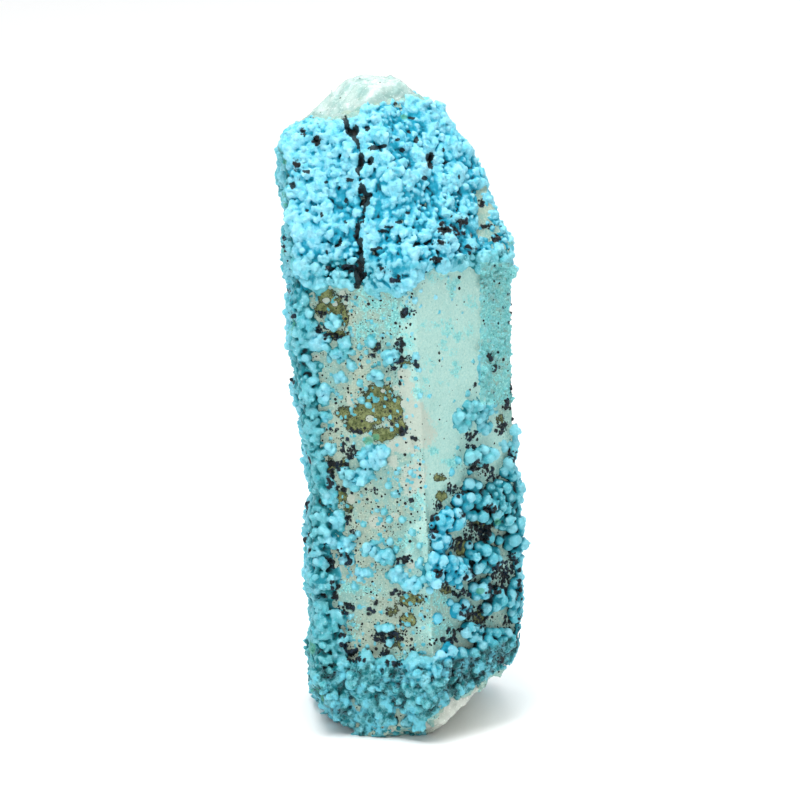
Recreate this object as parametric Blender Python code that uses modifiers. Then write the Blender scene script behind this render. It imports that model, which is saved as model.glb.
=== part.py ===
"""Chrysocolla specimen: one doubly grown-over quartz point, about 82 mm tall.

A single milky quartz crystal (six prism faces, an uneven point with a broken
tip, a chipped foot) carries a lumpy blue-green crust of chrysocolla.  Quartz
and crust grew together, so the whole specimen is one solid.

Units are metres, +Z is up.  The origin is on the resting plane, under the
middle of the specimen's box.  Azimuth 0 faces -Y, and 90 faces +X.
"""
import math
import random

import bmesh
import bpy
from mathutils import Vector
from mathutils.bvhtree import BVHTree

MM = 0.001
NODE = "chrysocolla_crystal"
COLLECTION = "chrysocolla_specimen"

# ---- driving dimensions (millimetres and degrees) ---------------------------
LEAN_DEG = 3.1            # the specimen stands leaning towards -X
AXIS_FOOT_X = 1.6         # where the crystal's own axis meets the resting plane
MID_HEIGHT = 40.0         # height at which the prism's half-widths are given

# prism faces: azimuth, half-width at MID_HEIGHT, taper (below 0 narrows downwards)
PRISM = (
    (-86.0, 10.5, -1.6),  # left
    (-20.0, 13.3, 0.0),   # front left
    (40.0, 13.75, -0.2),  # front right
    (100.0, 12.9, -1.9),  # right
    (160.0, 13.0, 0.0),   # back right
    (-140.0, 12.4, 0.0),  # back left
)
# termination faces: azimuth, elevation, distance from the crystal's foot
POINT = (
    (-20.0, 17.5, 31.23),
    (40.0, 27.0, 38.56),
    (96.7, 21.0, 33.24),
    (106.0, 33.0, 44.40),
    (99.0, 46.0, 57.54),
    (160.0, 32.6, 43.47),
    (-140.0, 30.8, 44.54),
)
# the broken tip and the chipped left shoulder
BROKEN = (
    (-55.4, 46.4, 61.94),
    (-76.0, 36.0, 54.17),
    (-36.6, 83.1, 79.93),
)
# chips round the foot
FOOT = (
    (78.8, -44.7, 4.47),
    (90.4, -26.3, 7.85),
    (-73.7, -42.0, 5.55),
    (8.0, -52.0, 7.31),
    (180.0, -35.0, 7.54),
)

# crust: azimuth range, height range, number of lumps, radius range, flatness
CRUST = (
    (-115.0, 75.0, 57.0, 78.0, 200, (1.2, 2.6), 0.42),   # cap over the front of the point
    (75.0, 245.0, 57.0, 76.0, 120, (1.2, 2.5), 0.38),    # cap over the back of the point
    (-118.0, -48.0, 2.0, 57.0, 130, (1.3, 2.8), 0.50),   # heavy growth down the left side
    (25.0, 100.0, 9.0, 29.0, 60, (1.2, 2.8), 0.50),      # ball cluster low on the right
    (-48.0, 25.0, 24.0, 40.0, 26, (0.9, 1.9), 0.42),     # blue patches on the front
    (-60.0, 110.0, 1.0, 9.0, 70, (1.3, 2.4), 0.45),      # rolled rim round the foot
    (110.0, 245.0, 2.0, 57.0, 150, (1.2, 2.7), 0.40),    # back faces
    (12.0, 40.0, 41.0, 50.0, 10, (1.0, 1.9), 0.40),      # small cluster on the front right
)
CRUST_SEED = 1187
SURFACE_ROUGHNESS = 0.22  # unevenness of the crust's skin
VOXEL = 0.80              # size of the smallest modelled lump
MAX_TRIANGLES = 7600
CENTRE = (0.66, -0.02)   # middle of the finished box, moved to the origin


def direction(azimuth, elevation=0.0):
    a, e = math.radians(azimuth), math.radians(elevation)
    return Vector((math.sin(a) * math.cos(e), -math.cos(a) * math.cos(e), math.sin(e)))


def crystal_planes():
    """(normal, distance from the origin) of each face, in millimetres."""
    lean = math.radians(LEAN_DEG)
    axis = Vector((-math.sin(lean), 0.0, math.cos(lean)))
    middle = Vector((AXIS_FOOT_X, 0.0, 0.0)) + axis * MID_HEIGHT
    planes = []
    for azimuth, half_width, taper in PRISM:
        n = direction(azimuth)
        n = (n - axis * n.dot(axis)).normalized()
        t = math.radians(taper)
        n = n * math.cos(t) + axis * math.sin(t)
        planes.append((n, n.dot(middle) + half_width))
    for azimuth, elevation, distance in POINT + BROKEN + FOOT:
        planes.append((direction(azimuth, elevation), distance))
    planes.append((Vector((0.0, 0.0, -1.0)), 0.0))
    return planes


def cut_crystal():
    """A hexagonal blank, cut back to the crystal's faces one by one."""
    bm = bmesh.new()
    bmesh.ops.create_cone(bm, cap_ends=True, segments=6, radius1=30.0, radius2=30.0, depth=130.0)
    bmesh.ops.translate(bm, verts=bm.verts, vec=(0.0, 0.0, 50.0))
    for normal, distance in crystal_planes():
        cut = bmesh.ops.bisect_plane(
            bm, geom=bm.verts[:] + bm.edges[:] + bm.faces[:], dist=1e-5,
            plane_co=normal * distance, plane_no=normal, clear_outer=True)
        rim = [g for g in cut["geom_cut"] if isinstance(g, bmesh.types.BMEdge)]
        if rim:
            bmesh.ops.holes_fill(bm, edges=rim, sides=0)
    bmesh.ops.recalc_face_normals(bm, faces=bm.faces)
    return bm


def add_crust(bm):
    """Flattened balls grown on the crystal's faces, some of them run together."""
    rng = random.Random(CRUST_SEED)
    tree = BVHTree.FromBMesh(bm)
    spots = []
    for az0, az1, z0, z1, count, radii, flat in CRUST:
        for _ in range(count):
            azimuth = rng.uniform(az0, az1)
            height = rng.uniform(z0, z1)
            outward = direction(azimuth)
            target = Vector((AXIS_FOOT_X - height * math.tan(math.radians(LEAN_DEG)), 0.0, height))
            place, normal, _, _ = tree.ray_cast(target + outward * 60.0, -outward)
            if place is None or normal.z < -0.5:
                continue
            spots.append((place, normal, rng.uniform(*radii), flat * rng.uniform(0.75, 1.15)))
    for place, normal, radius, flat in spots:
        turn = normal.to_track_quat("Z", "Y").to_matrix().to_4x4()
        ball = bmesh.ops.create_icosphere(bm, subdivisions=2, radius=radius)
        bmesh.ops.scale(bm, verts=ball["verts"], vec=(1.0, rng.uniform(0.7, 1.0), flat))
        bmesh.ops.rotate(bm, verts=ball["verts"], cent=(0, 0, 0), matrix=turn.to_3x3())
        bmesh.ops.translate(bm, verts=ball["verts"], vec=place)


def clear_scene():
    for ob in list(bpy.data.objects):
        bpy.data.objects.remove(ob, do_unlink=True)


def collection(name):
    col = bpy.data.collections.get(name)
    if col is None:
        col = bpy.data.collections.new(name)
        bpy.context.scene.collection.children.link(col)
    return col


def stone_material():
    mat = bpy.data.materials.new("chrysocolla_on_quartz")
    mat.use_nodes = True
    bsdf = mat.node_tree.nodes["Principled BSDF"]
    bsdf.inputs["Base Color"].default_value = (0.145, 0.50, 0.58, 1.0)
    bsdf.inputs["Roughness"].default_value = 0.55
    bsdf.inputs["Metallic"].default_value = 0.0
    return mat


def evaluated_mesh(ob):
    bpy.context.view_layer.update()
    graph = bpy.context.evaluated_depsgraph_get()
    return bpy.data.meshes.new_from_object(ob.evaluated_get(graph), depsgraph=graph)


def build():
    clear_scene()
    parts, cutters = collection(COLLECTION), collection("cutters")

    bm = cut_crystal()
    add_crust(bm)
    bmesh.ops.scale(bm, verts=bm.verts, vec=(MM, MM, MM))
    mesh = bpy.data.meshes.new(NODE)
    bm.to_mesh(mesh)
    bm.free()
    ob = bpy.data.objects.new(NODE, mesh)
    parts.objects.link(ob)

    # quartz and crust become one skin
    weld = ob.modifiers.new("grown_together", "REMESH")
    weld.mode = "VOXEL"
    weld.voxel_size = VOXEL * MM
    weld.adaptivity = 0.0

    skin = bpy.data.textures.new("crust_skin", "CLOUDS")
    skin.noise_scale = 0.0028
    skin.noise_depth = 2
    rough = ob.modifiers.new("crust_skin", "DISPLACE")
    rough.texture = skin
    rough.texture_coords = "LOCAL"
    rough.strength = SURFACE_ROUGHNESS * 2.0 * MM
    rough.mid_level = 0.5

    full = evaluated_mesh(ob)
    count = sum(len(p.vertices) - 2 for p in full.polygons)
    bpy.data.meshes.remove(full)
    thin = ob.modifiers.new("facets", "DECIMATE")
    thin.decimate_type = "COLLAPSE"
    thin.ratio = min(1.0, MAX_TRIANGLES / count)
    thin.use_collapse_triangulate = True

    # the flat it rests on
    bpy.ops.mesh.primitive_cube_add(size=1.0, location=(0.0, 0.0, -0.05 + 0.0004))
    block = bpy.context.active_object
    block.name = "resting_plane_cutter"
    block.scale = (0.2, 0.2, 0.1)
    for col in list(block.users_collection):
        col.objects.unlink(block)
    cutters.objects.link(block)
    block.hide_render = True
    block.display_type = "WIRE"
    foot = ob.modifiers.new("resting_plane", "BOOLEAN")
    foot.operation = "DIFFERENCE"
    foot.solver = "EXACT"
    foot.object = block

    ob.location = (-CENTRE[0] * MM, -CENTRE[1] * MM, -0.0004)
    block.location = (0.0, 0.0, -0.05)
    mesh.materials.append(stone_material())
    mesh.shade_smooth()
    return ob


build()
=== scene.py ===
"""Chrysocolla specimen: the looks.  Milky quartz point with a botryoidal blue-green crust."""
import math
import time

import bmesh
import bpy
import numpy as np
from mathutils import Matrix, Vector


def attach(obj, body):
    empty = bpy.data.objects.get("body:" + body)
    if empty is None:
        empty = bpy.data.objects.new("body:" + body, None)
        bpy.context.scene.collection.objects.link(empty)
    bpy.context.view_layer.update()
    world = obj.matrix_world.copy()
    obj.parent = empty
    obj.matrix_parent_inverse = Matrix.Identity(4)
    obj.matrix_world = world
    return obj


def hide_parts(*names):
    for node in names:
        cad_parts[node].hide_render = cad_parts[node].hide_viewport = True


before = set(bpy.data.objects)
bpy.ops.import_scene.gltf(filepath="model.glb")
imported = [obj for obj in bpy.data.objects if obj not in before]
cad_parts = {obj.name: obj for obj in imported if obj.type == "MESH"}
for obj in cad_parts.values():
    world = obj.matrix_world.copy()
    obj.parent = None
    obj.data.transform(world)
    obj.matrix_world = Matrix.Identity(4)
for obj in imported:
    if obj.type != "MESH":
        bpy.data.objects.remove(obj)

T0 = time.time()
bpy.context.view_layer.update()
H = 0.155      # cell of the growth grid, mm
MM = 0.001
SHIFT = np.array([-0.66, 0.02, 0.0])   # the construction frame's axes to the row frame's


def log(*a):
    print("[%6.1fs]" % (time.time() - T0), *a, flush=True)


# ------------------------------------------------------------------ camera --
ELEV = math.radians(12.0)
DIST = 520.0                     # mm
PX = 8.05                        # pixels per mm at the look-at point, on the 800 px frame
LOOK = np.array([0.0, 0.0, 39.8])
FWD = np.array([0.0, math.cos(ELEV), -math.sin(ELEV)])
RIGHT = np.array([1.0, 0.0, 0.0])
UP = np.cross(RIGHT, FWD)
EYE = LOOK - FWD * DIST


def project(P):
    """Frame coordinates (0 to 800) of points in the construction frame, mm."""
    d = P - EYE
    z = d @ FWD
    f = PX * DIST
    return 400.0 + f * (d @ RIGHT) / z, 400.0 - f * (d @ UP) / z


# ----------------------------------------------------------- crystal faces --
def direction(az, el=0.0):
    a, e = math.radians(az), math.radians(el)
    return np.array([math.sin(a) * math.cos(e), -math.cos(a) * math.cos(e), math.sin(e)])


LEAN = math.radians(3.1)
AXIS = np.array([-math.sin(LEAN), 0.0, math.cos(LEAN)])
MIDDLE = np.array([1.6, 0.0, 0.0]) + AXIS * 40.0


def prism(az, half, taper=0.0):
    n = direction(az)
    n = n - AXIS * (n @ AXIS)
    n /= np.linalg.norm(n)
    t = math.radians(taper)
    n = n * math.cos(t) + AXIS * math.sin(t)
    return n, float(n @ MIDDLE + half)


def face(az, el, p):
    n = direction(az, el)
    return n, float(n @ np.array(p, float))


def plane(az, el, dist):
    return direction(az, el), dist


PLANES = [
    ("left", prism(-86, 10.5, -1.6)),
    ("front_left", prism(-20, 13.3)),
    ("front_right", prism(40, 13.75, -0.2)),
    ("right", prism(100, 12.9, -1.9)),
    ("back_right", prism(160, 13.0)),
    ("back_left", prism(-140, 12.4)),
    ("cap_left", face(-20, 17.5, (-6, -13.2, 58))),
    ("cap_right", face(40, 27, (8, -10.2, 59.5))),
    ("cap_side_a", plane(96.7, 21, 33.24)),
    ("cap_side_b", plane(106, 33, 44.40)),
    ("cap_side_c", plane(99, 46, 57.54)),
    ("cap_back_right", plane(160, 32.59, 43.47)),
    ("cap_back_left", plane(-140, 30.83, 44.54)),
    ("tip_a", plane(-55.41, 46.41, 61.94)),
    ("shoulder", plane(-76, 36, 54.17)),
    ("tip_b", plane(-36.59, 83.11, 79.93)),
    ("foot_right", plane(78.8, -44.7, 4.47)),
    ("foot_side", plane(90.4, -26.3, 7.85)),
    ("foot_left", plane(-73.7, -42, 5.55)),
    ("foot_front", plane(8, -52, 7.31)),
    ("foot_back", face(180, -35, (0, 12, 4))),
    ("base", (np.array([0.0, 0.0, -1.0]), 0.0)),
]
NAMES = [n for n, _ in PLANES]
PN = np.array([p[0] for _, p in PLANES])
PD = np.array([p[1] for _, p in PLANES])
FACE = {n: i for i, n in enumerate(NAMES)}


def depth(P):
    """Signed distance to the bare crystal (above 0 outside) and the nearest face, for points."""
    best = np.full(len(P), -1e9)
    which = np.zeros(len(P), np.int32)
    for i in range(len(PD)):
        s = P @ PN[i] - PD[i]
        m = s > best
        best[m] = s[m]
        which[m] = i
    return best, which


# -------------------------------------------------------------------- noise --
_lat = {}


def noise(P, scale, seed=0, octaves=1, gain=0.5):
    """Smooth lattice noise in about -1 to 1, for points in mm; scale is the feature size in mm."""
    out = np.zeros(len(P), np.float32)
    amp, tot = 1.0, 0.0
    for o in range(octaves):
        key = seed * 16 + o
        if key not in _lat:
            _lat[key] = np.random.default_rng(9000 + key).uniform(-1, 1, (48, 48, 48)).astype(np.float32)
        L = _lat[key]
        q = P * (2.0 ** o / scale) + (17.3 * key % 31)
        i = np.floor(q).astype(np.int32)
        f = (q - i).astype(np.float32)
        f = f * f * (3 - 2 * f)
        i %= 48
        j = (i + 1) % 48
        x0, y0, z0, x1, y1, z1 = i[:, 0], i[:, 1], i[:, 2], j[:, 0], j[:, 1], j[:, 2]
        fx, fy, fz = f[:, 0], f[:, 1], f[:, 2]
        a = L[x0, y0, z0] * (1 - fx) + L[x1, y0, z0] * fx
        b = L[x0, y1, z0] * (1 - fx) + L[x1, y1, z0] * fx
        c = L[x0, y0, z1] * (1 - fx) + L[x1, y0, z1] * fx
        d = L[x0, y1, z1] * (1 - fx) + L[x1, y1, z1] * fx
        out += amp * ((a * (1 - fy) + b * fy) * (1 - fz) + (c * (1 - fy) + d * fy) * fz)
        tot += amp
        amp *= gain
    return out * (1.35 / tot)


def step(a, b, x):
    t = np.clip((x - a) / (b - a), 0.0, 1.0)
    return t * t * (3 - 2 * t)


# ------------------------------------------------------- map of the growths --
# Each entry sits on a front face where the frame's point (x, y) meets it, with half-sizes in
# frame pixels and a strength.
BLUE = [  # crust with small balls
    (334, 321, 9, 9, 1), (300, 325, 14, 22, .9), (318, 340, 14, 12, .9), (345, 345, 8, 6, .8), (338, 355, 10, 8, .7),
    (390, 357, 9, 8, 1), (371, 343, 7, 7, .7), (376, 376, 9, 6, .9), (341, 377, 8, 5, .9), (352, 367, 7, 6, .8),
    (329, 448, 9, 7, 1), (343, 470, 8, 6, .6), (372, 458, 18, 12, 1.1), (359, 478, 16, 11, 1.1), (383, 452, 8, 9, 1),
    (325, 395, 8, 14, .8), (330, 500, 9, 12, 1), (335, 520, 10, 12, 1), (330, 540, 9, 9, 1), (345, 546, 12, 9, 1.05),
    (324, 418, 6, 10, .7), (370, 549, 9, 8, .8), (384, 556, 12, 9, .85), (400, 575, 14, 10, .9), (412, 584, 14, 9, .95),
    (362, 573, 15, 7, .75), (395, 494, 6, 4, .6), (420, 565, 9, 8, .6),
    (387, 628, 8, 5, 1.1), (391, 641, 4, 4, 1.1), (345, 560, 12, 6, .8), (380, 540, 6, 5, .6),
    # front right
    (462, 421, 11, 13, 1), (478, 412, 14, 12, 1.05), (490, 404, 8, 7, .8), (468, 405, 8, 5, .7), (485, 428, 9, 6, .6),
    (484, 368, 6, 13, 1), (482, 358, 4, 6, .7), (484, 452, 10, 8, 1.05), (471, 456, 6, 5, .8),
    (458, 500, 8, 7, .8), (449, 520, 16, 14, 1.0), (440, 540, 12, 10, 1), (475, 504, 14, 13, 1.2), (492, 499, 8, 8, 1.2),
    (502, 510, 13, 26, 1.1), (515, 535, 10, 22, 1.1), (472, 486, 10, 6, .8), (436, 560, 10, 12, 1), (455, 570, 13, 13, 1.2),
    (482, 558, 15, 14, 1.2), (500, 490, 12, 10, 1), (508, 470, 8, 12, .8), (506, 445, 9, 8, .6), (432, 578, 10, 8, .8),
    (483, 590, 13, 9, 1.1), (462, 610, 7, 8, 1), (498, 600, 8, 10, .8), (485, 608, 7, 8, .7), (513, 600, 7, 26, .7),
    (475, 632, 13, 8, 1.0), (500, 640, 18, 12, 1), (510, 655, 12, 14, 1), (480, 648, 14, 8, 1),
    (450, 655, 20, 8, .9), (443, 668, 26, 8, 1),
]
TURQ = [  # smooth turquoise film, small wisps and granular patches
    (452, 287, 6, 10, .9), (457, 281, 4, 4, .9), (458, 336, 6, 6, .9), (452, 352, 6, 5, .5), (420, 392, 9, 8, .9), (456, 369, 6, 8, .9),
    (434, 451, 6, 6, .9), (447, 325, 7, 10, .45), (430, 325, 12, 4, .35), (443, 383, 6, 4, .5), (426, 382, 4, 6, .6), (470, 330, 6, 8, .6),
    (487, 340, 7, 9, .8), (452, 463, 10, 8, .9), (428, 365, 5, 8, .4), (445, 345, 6, 6, .6), (435, 275, 12, 6, .5), (470, 302, 6, 8, .5),
    (442, 600, 16, 14, .75), (372, 590, 12, 7, .8), (350, 588, 14, 8, .9), (343, 470, 8, 8, .5), (410, 545, 18, 10, .5),
    (397, 318, 16, 16, .5), (365, 330, 14, 10, .35), (405, 345, 8, 12, .5), (418, 500, 8, 12, .35), (440, 630, 14, 12, .5),
    (400, 655, 18, 8, .5), (352, 628, 8, 12, .5), (310, 300, 10, 14, .6), (370, 300, 20, 12, .6), (392, 290, 12, 10, .7),
]
DARK = [  # black and navy manganese and tenorite bloom
    (322, 313, 6, 5, .9), (347, 296, 4, 6, .8), (320, 330, 7, 8, .9), (333, 337, 10, 4, .9), (290, 318, 5, 9, 1), (408, 313, 9, 6, .8),
    (399, 345, 6, 9, .6), (376, 347, 6, 5, .8), (372, 356, 4, 3, .7), (398, 361, 7, 3, 1.1), (407, 358, 8, 3, 1.1), (416, 363, 3, 5, 1), (392, 368, 5, 3, .8),
    (333, 431, 8, 5, 1.1), (357, 431, 6, 4, 1.1), (345, 441, 6, 4, .9), (350, 452, 10, 9, 1.2), (338, 466, 12, 6, 1.1), (330, 478, 5, 12, .8),
    (340, 488, 8, 4, .7), (415, 439, 5, 3, 1.1), (403, 431, 6, 5, .8), (400, 415, 5, 5, .6), (349, 520, 5, 7, 1.1), (353, 532, 5, 4, 1),
    (347, 560, 5, 8, .9), (340, 552, 4, 5, .7), (375, 491, 4, 5, .9), (398, 493, 4, 4, .8), (411, 500, 3, 3, .9), (405, 560, 12, 6, .6),
    (370, 611, 6, 6, 1.1), (376, 603, 4, 4, 1), (398, 593, 11, 4, 1), (347, 606, 10, 4, .8), (378, 637, 9, 9, 1.1), (390, 634, 10, 5, .9),
    (402, 639, 6, 6, 1), (353, 652, 7, 7, 1.1), (345, 645, 6, 5, .9), (341, 636, 5, 4, 1), (412, 648, 6, 4, .7), (384, 652, 8, 5, 1), (394, 663, 12, 4, .9),
    (360, 660, 14, 4, .9), (343, 610, 5, 6, .7), (330, 560, 5, 10, .9), (335, 590, 4, 12, .6),
    # front right
    (490, 357, 4, 5, 1.2), (494, 368, 3, 5, .7), (475, 385, 2.5, 2.5, 1), (472, 436, 9, 6, 1), (501, 428, 7, 6, 1.1), (512, 455, 7, 7, 1.1),
    (507, 405, 6, 8, .9), (513, 385, 4, 14, 1.0), (516, 362, 4, 8, .9), (470, 445, 6, 5, .7), (478, 468, 12, 8, 1.1), (490, 474, 10, 7, .9),
    (455, 491, 9, 6, 1.2), (449, 486, 6, 4, 1), (437, 505, 6, 6, 1.2), (434, 517, 5, 6, 1), (490, 509, 9, 6, 1), (477, 532, 17, 12, 1.1),
    (462, 515, 7, 5, .8), (455, 545, 9, 9, .9), (432, 530, 5, 10, .9), (470, 575, 8, 8, 1), (445, 586, 7, 5, 1), (437, 573, 6, 6, .9), (502, 575, 13, 16, 1.15),
    (512, 560, 7, 12, .9), (492, 590, 8, 8, 1.1), (462, 593, 12, 5, 1), (472, 612, 14, 10, 1), (482, 622, 10, 8, 1), (455, 630, 10, 5, .8),
    (448, 640, 15, 3.5, 1.3), (500, 659, 4, 5, 1.2), (519, 590, 4, 26, .8), (521, 620, 4, 12, .9), (507, 622, 5, 8, .7),
    # cap
    (446, 228, 10, 8, 1), (463, 221, 9, 7, 1), (459, 232, 8, 5, .9), (494, 239, 5, 5, 1.1), (470, 250, 10, 5, .9), (436, 260, 7, 5, 1),
    (481, 203, 5, 7, 1.1), (487, 226, 8, 4, .9), (441, 243, 10, 4, .8), (469, 252, 4, 3, 1), (352, 268, 10, 6, .9), (362, 273, 7, 8, 1.1), (398, 278, 8, 5, .8),
    (340, 267, 3.5, 3.5, 1), (327, 268, 4, 3, .6), (296, 165, 4, 8, .8), (317, 140, 4, 7, 1.1), (303, 133, 4, 4, .8), (312, 117, 3, 4, .7), (383, 270, 8, 4, .6),
]
HOLES = [  # deep openings in the heavy crust, their insides painted near-black as shade: x, y, half-width, half-height
    (430, 157, 3.5, 4.5), (430, 166, 3, 3.5), (424, 178, 3, 2.5), (409, 131, 3, 3), (401, 108, 4, 3), (396, 104, 3, 3),
    (317, 141, 3, 6), (298, 166, 3, 5), (304, 171, 5, 2.5), (350, 180, 5, 2.5), (356, 131, 3, 5), (374, 148, 7, 2.5), (383, 146, 4, 2),
    (367, 129, 3, 3), (366, 202, 6, 5), (370, 196, 3, 3), (362, 218, 3, 6), (357, 229, 3, 4), (355, 236, 2.5, 3.5), (361, 180, 3.5, 4),
    (360, 191, 3, 4), (371, 160, 3, 5), (361, 252, 3, 4), (361, 262, 3, 5), (360, 274, 5, 7), (358, 170, 3, 4), (361, 240, 2, 4),
    (381, 231, 5, 1.6), (389, 227, 4, 1.6), (373, 250, 4, 1.6), (380, 248, 3, 1.4), (399, 222, 3, 1.6), (408, 213, 3, 1.6), (436, 258, 4, 3), (443, 230, 5, 3.5),
    (463, 221, 5, 3.5), (494, 239, 3.5, 3), (481, 203, 2.5, 4), (486, 226, 5, 2), (327, 252, 1.6, 4), (340, 242, 1.6, 4), (336, 246, 3, 1.4), (307, 210, 2, 2),
    (292, 185, 3, 4), (444, 150, 2, 2.5), (398, 140, 3, 2), (412, 118, 4, 2), (416, 140, 2, 3), (402, 150, 2.5, 2), (349, 157, 2, 2), (387, 168, 2, 2), (346, 200, 2, 3),
    (459, 178, 2, 3), (414, 246, 2.5, 1.6), (345, 222, 2.5, 1.5), (326, 182, 2, 1.6), (322, 215, 1.6, 2.5), (437, 205, 2, 1.5), (451, 216, 2, 2),
]
OLIVE = [
    (325, 296, 13, 9, .9), (336, 306, 12, 11, .9), (322, 309, 9, 8, .8), (344, 318, 6, 12, .7), (338, 335, 12, 5, .8), (376, 347, 6, 4, .7),
    (379, 396, 18, 15, 1.1), (370, 412, 20, 14, 1.1), (394, 410, 14, 15, 1.1), (360, 424, 16, 9, 1), (385, 434, 13, 9, 1), (400, 427, 8, 9, .9),
    (404, 362, 11, 4, .8), (345, 412, 9, 9, .8), (340, 497, 9, 8, 1), (348, 506, 6, 8, .8), (345, 470, 7, 12, .6), (330, 470, 5, 14, .6),
    (410, 600, 14, 7, .85), (407, 620, 9, 8, .9), (392, 612, 7, 6, .4), (472, 461, 9, 6, .9), (441, 496, 7, 6, 1), (462, 548, 9, 10, .9),
    (482, 523, 14, 6, .6), (446, 590, 7, 5, .8), (480, 618, 9, 9, .8), (395, 640, 12, 12, .35), (500, 420, 5, 5, .5), (486, 455, 6, 4, .4), (350, 545, 5, 5, .5),
    (505, 470, 5, 5, .6), (440, 478, 6, 4, .5),
]
CREAM = [
    (307, 281, 5, 6, 1.2), (328, 284, 11, 5, 1.1), (326, 300, 4.5, 3.5, 1.3), (335, 304, 3.5, 3.5, 1.3), (343, 294, 4, 5, 1.2), (315, 287, 4, 4, 1), (346, 302, 3, 3, 1.1),
    (370, 418, 6, 5, 1.3), (404, 374, 8, 7, 1.2), (396, 388, 3.5, 3, 1.1), (383, 391, 3, 2.5, 1.1), (408, 390, 10, 12, .8), (404, 404, 5, 5, .9), (350, 400, 4, 6, .9),
    (415, 415, 14, 18, .9), (392, 461, 8, 8, .6), (376, 522, 9, 7, 1.25), (351, 499, 4.5, 6, 1.25), (395, 516, 6, 4, .6), (411, 565, 5, 5, 1.2), (430, 566, 4, 5, 1.1),
    (405, 445, 22, 10, .8), (415, 480, 16, 24, .55), (337, 570, 7, 7, .7), (500, 632, 6, 6, .9), (508, 480, 5, 6, .7), (420, 432, 20, 20, .5),
    (312, 322, 2.5, 8, 1.4), (291, 168, 5, 5, 1.1), (356, 131, 5, 6, .8), (495, 217, 6, 7, 1.2), (455, 137, 4, 9, .8), (463, 150, 4, 6, .8), (467, 190, 7, 12, .9), (462, 205, 6, 8, .8),
    (445, 243, 14, 6, .6), (473, 238, 10, 8, .6), (320, 262, 5, 3, .4), (350, 212, 3, 2.5, 1), (300, 345, 3, 4, .8), (316, 357, 4, 3, .9), (306, 352, 3, 3, .8),
]
GREY = [(352, 625, 16, 10, 1), (345, 650, 10, 8, .8), (375, 650, 14, 10, 1.1), (400, 612, 16, 12, .8), (378, 638, 18, 12, .7), (425, 648, 10, 8, .5), (385, 603, 14, 8, .6)]
GREENSPOT = [(368, 441, 6, 5, 1.2), (498, 522, 5, 5, 1), (480, 591, 6, 4, 1.2), (404, 117, 5, 4, 1), (285, 162, 3, 4, 1), (312, 648, 5, 9, .8), (305, 615, 4, 8, .6),
             (376, 437, 5, 4, .7), (402, 430, 4, 4, .5), (511, 243, 6, 5, .5)]
BALLS = [  # single balls: x, y, radius in pixels
    (362, 400, 3.8), (389, 485, 3.8), (385, 511, 3.6), (390, 519, 3.4), (403, 519, 3.6), (413, 532, 3.8), (391, 541, 3.4), (364, 524, 3.2), (353, 537, 3.6),
    (359, 533, 3.2), (374, 553, 3.6), (421, 560, 3.6), (385, 561, 4.2), (356, 680, 7.0), (411, 472, 2.6), (378, 510, 2.4), (397, 473, 2.2), (429, 396, 2), (435, 297, 2.2),
    (475, 503, 6.4), (477, 515, 6.6), (486, 519, 5.2), (494, 498, 6.0), (465, 504, 4.6), (487, 537, 6.4), (467, 545, 4.6), (480, 549, 6.6), (491, 559, 6.4), (477, 563, 5.4), (488, 569, 4.6),
    (470, 556, 4.4), (454, 567, 5.8), (461, 574, 5.2), (452, 578, 4.6), (446, 570, 4), (458, 585, 4.2), (431, 525, 3.6), (436, 533, 4), (488, 453, 6.2), (479, 449, 4.6), (457, 460, 3.6),
    (472, 484, 3.6), (463, 488, 3.2), (508, 538, 7.5), (512, 552, 6.5), (505, 526, 6.2), (514, 520, 6), (497, 540, 5), (456, 415, 4.6), (464, 423, 5), (470, 416, 4.2), (461, 428, 4.2), (480, 405, 3.6), (488, 411, 4), (476, 420, 3.6),
    (415, 700, 5.4), (424, 697, 5.2), (421, 707, 4.8), (409, 705, 4.6), (431, 701, 5), (437, 693, 4.2), (402, 699, 3.8), (387, 627, 4.8), (381, 628, 3.6), (391, 628, 3.8), (391, 641, 4.2),
    (352, 473, 5), (356, 486, 5.2), (348, 482, 4.2), (364, 480, 4.4), (343, 476, 3.6), (330, 445, 4.2), (326, 451, 3.6), (335, 449, 3.4), (371, 446, 4.4), (384, 461, 4.4), (377, 466, 4.2), (366, 462, 4.4),
    (389, 353, 4.4), (393, 359, 3.8), (387, 362, 3.4), (334, 316, 3.6), (339, 322, 3.8), (330, 324, 3.8), (335, 328, 3.4), (376, 372, 3.6), (382, 374, 3.2), (370, 377, 3.2), (342, 373, 3), (345, 379, 3.4), (338, 380, 2.8),
    (353, 352, 3.2), (360, 347, 2.8), (329, 348, 3.2), (334, 353, 3), (340, 360, 3), (350, 361, 3), (367, 352, 2.6), (337, 519, 4), (342, 528, 3.6), (331, 530, 4), (343, 548, 4.2), (335, 545, 4), (350, 549, 3.4),
    (369, 545, 4.6), (376, 549, 3.2), (366, 553, 3.4), (355, 586, 3.6), (361, 578, 3.2), (420, 545, 3), (397, 548, 3), (352, 616, 2.4),
]


def spots(table, x, y, keep=None):
    """Largest of the entries' soft discs at frame points: 1 at the middle, 0 at the edge, below 0 outside."""
    out = np.full(len(x), -1.0, np.float32)
    for e in table:
        px, py, rx, ry = e[:4]
        k = e[4] if len(e) > 4 else 1.0
        m = (np.abs(x - px) < 2 * rx) & (np.abs(y - py) < 2 * ry)
        if not m.any():
            continue
        q = ((x[m] - px) / rx) ** 2 + ((y[m] - py) / ry) ** 2
        v = (k * (1.0 - q)).astype(np.float32)
        out[m] = np.maximum(out[m], v)
    if keep is not None:
        out[~keep] = -1.0
    return out


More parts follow.
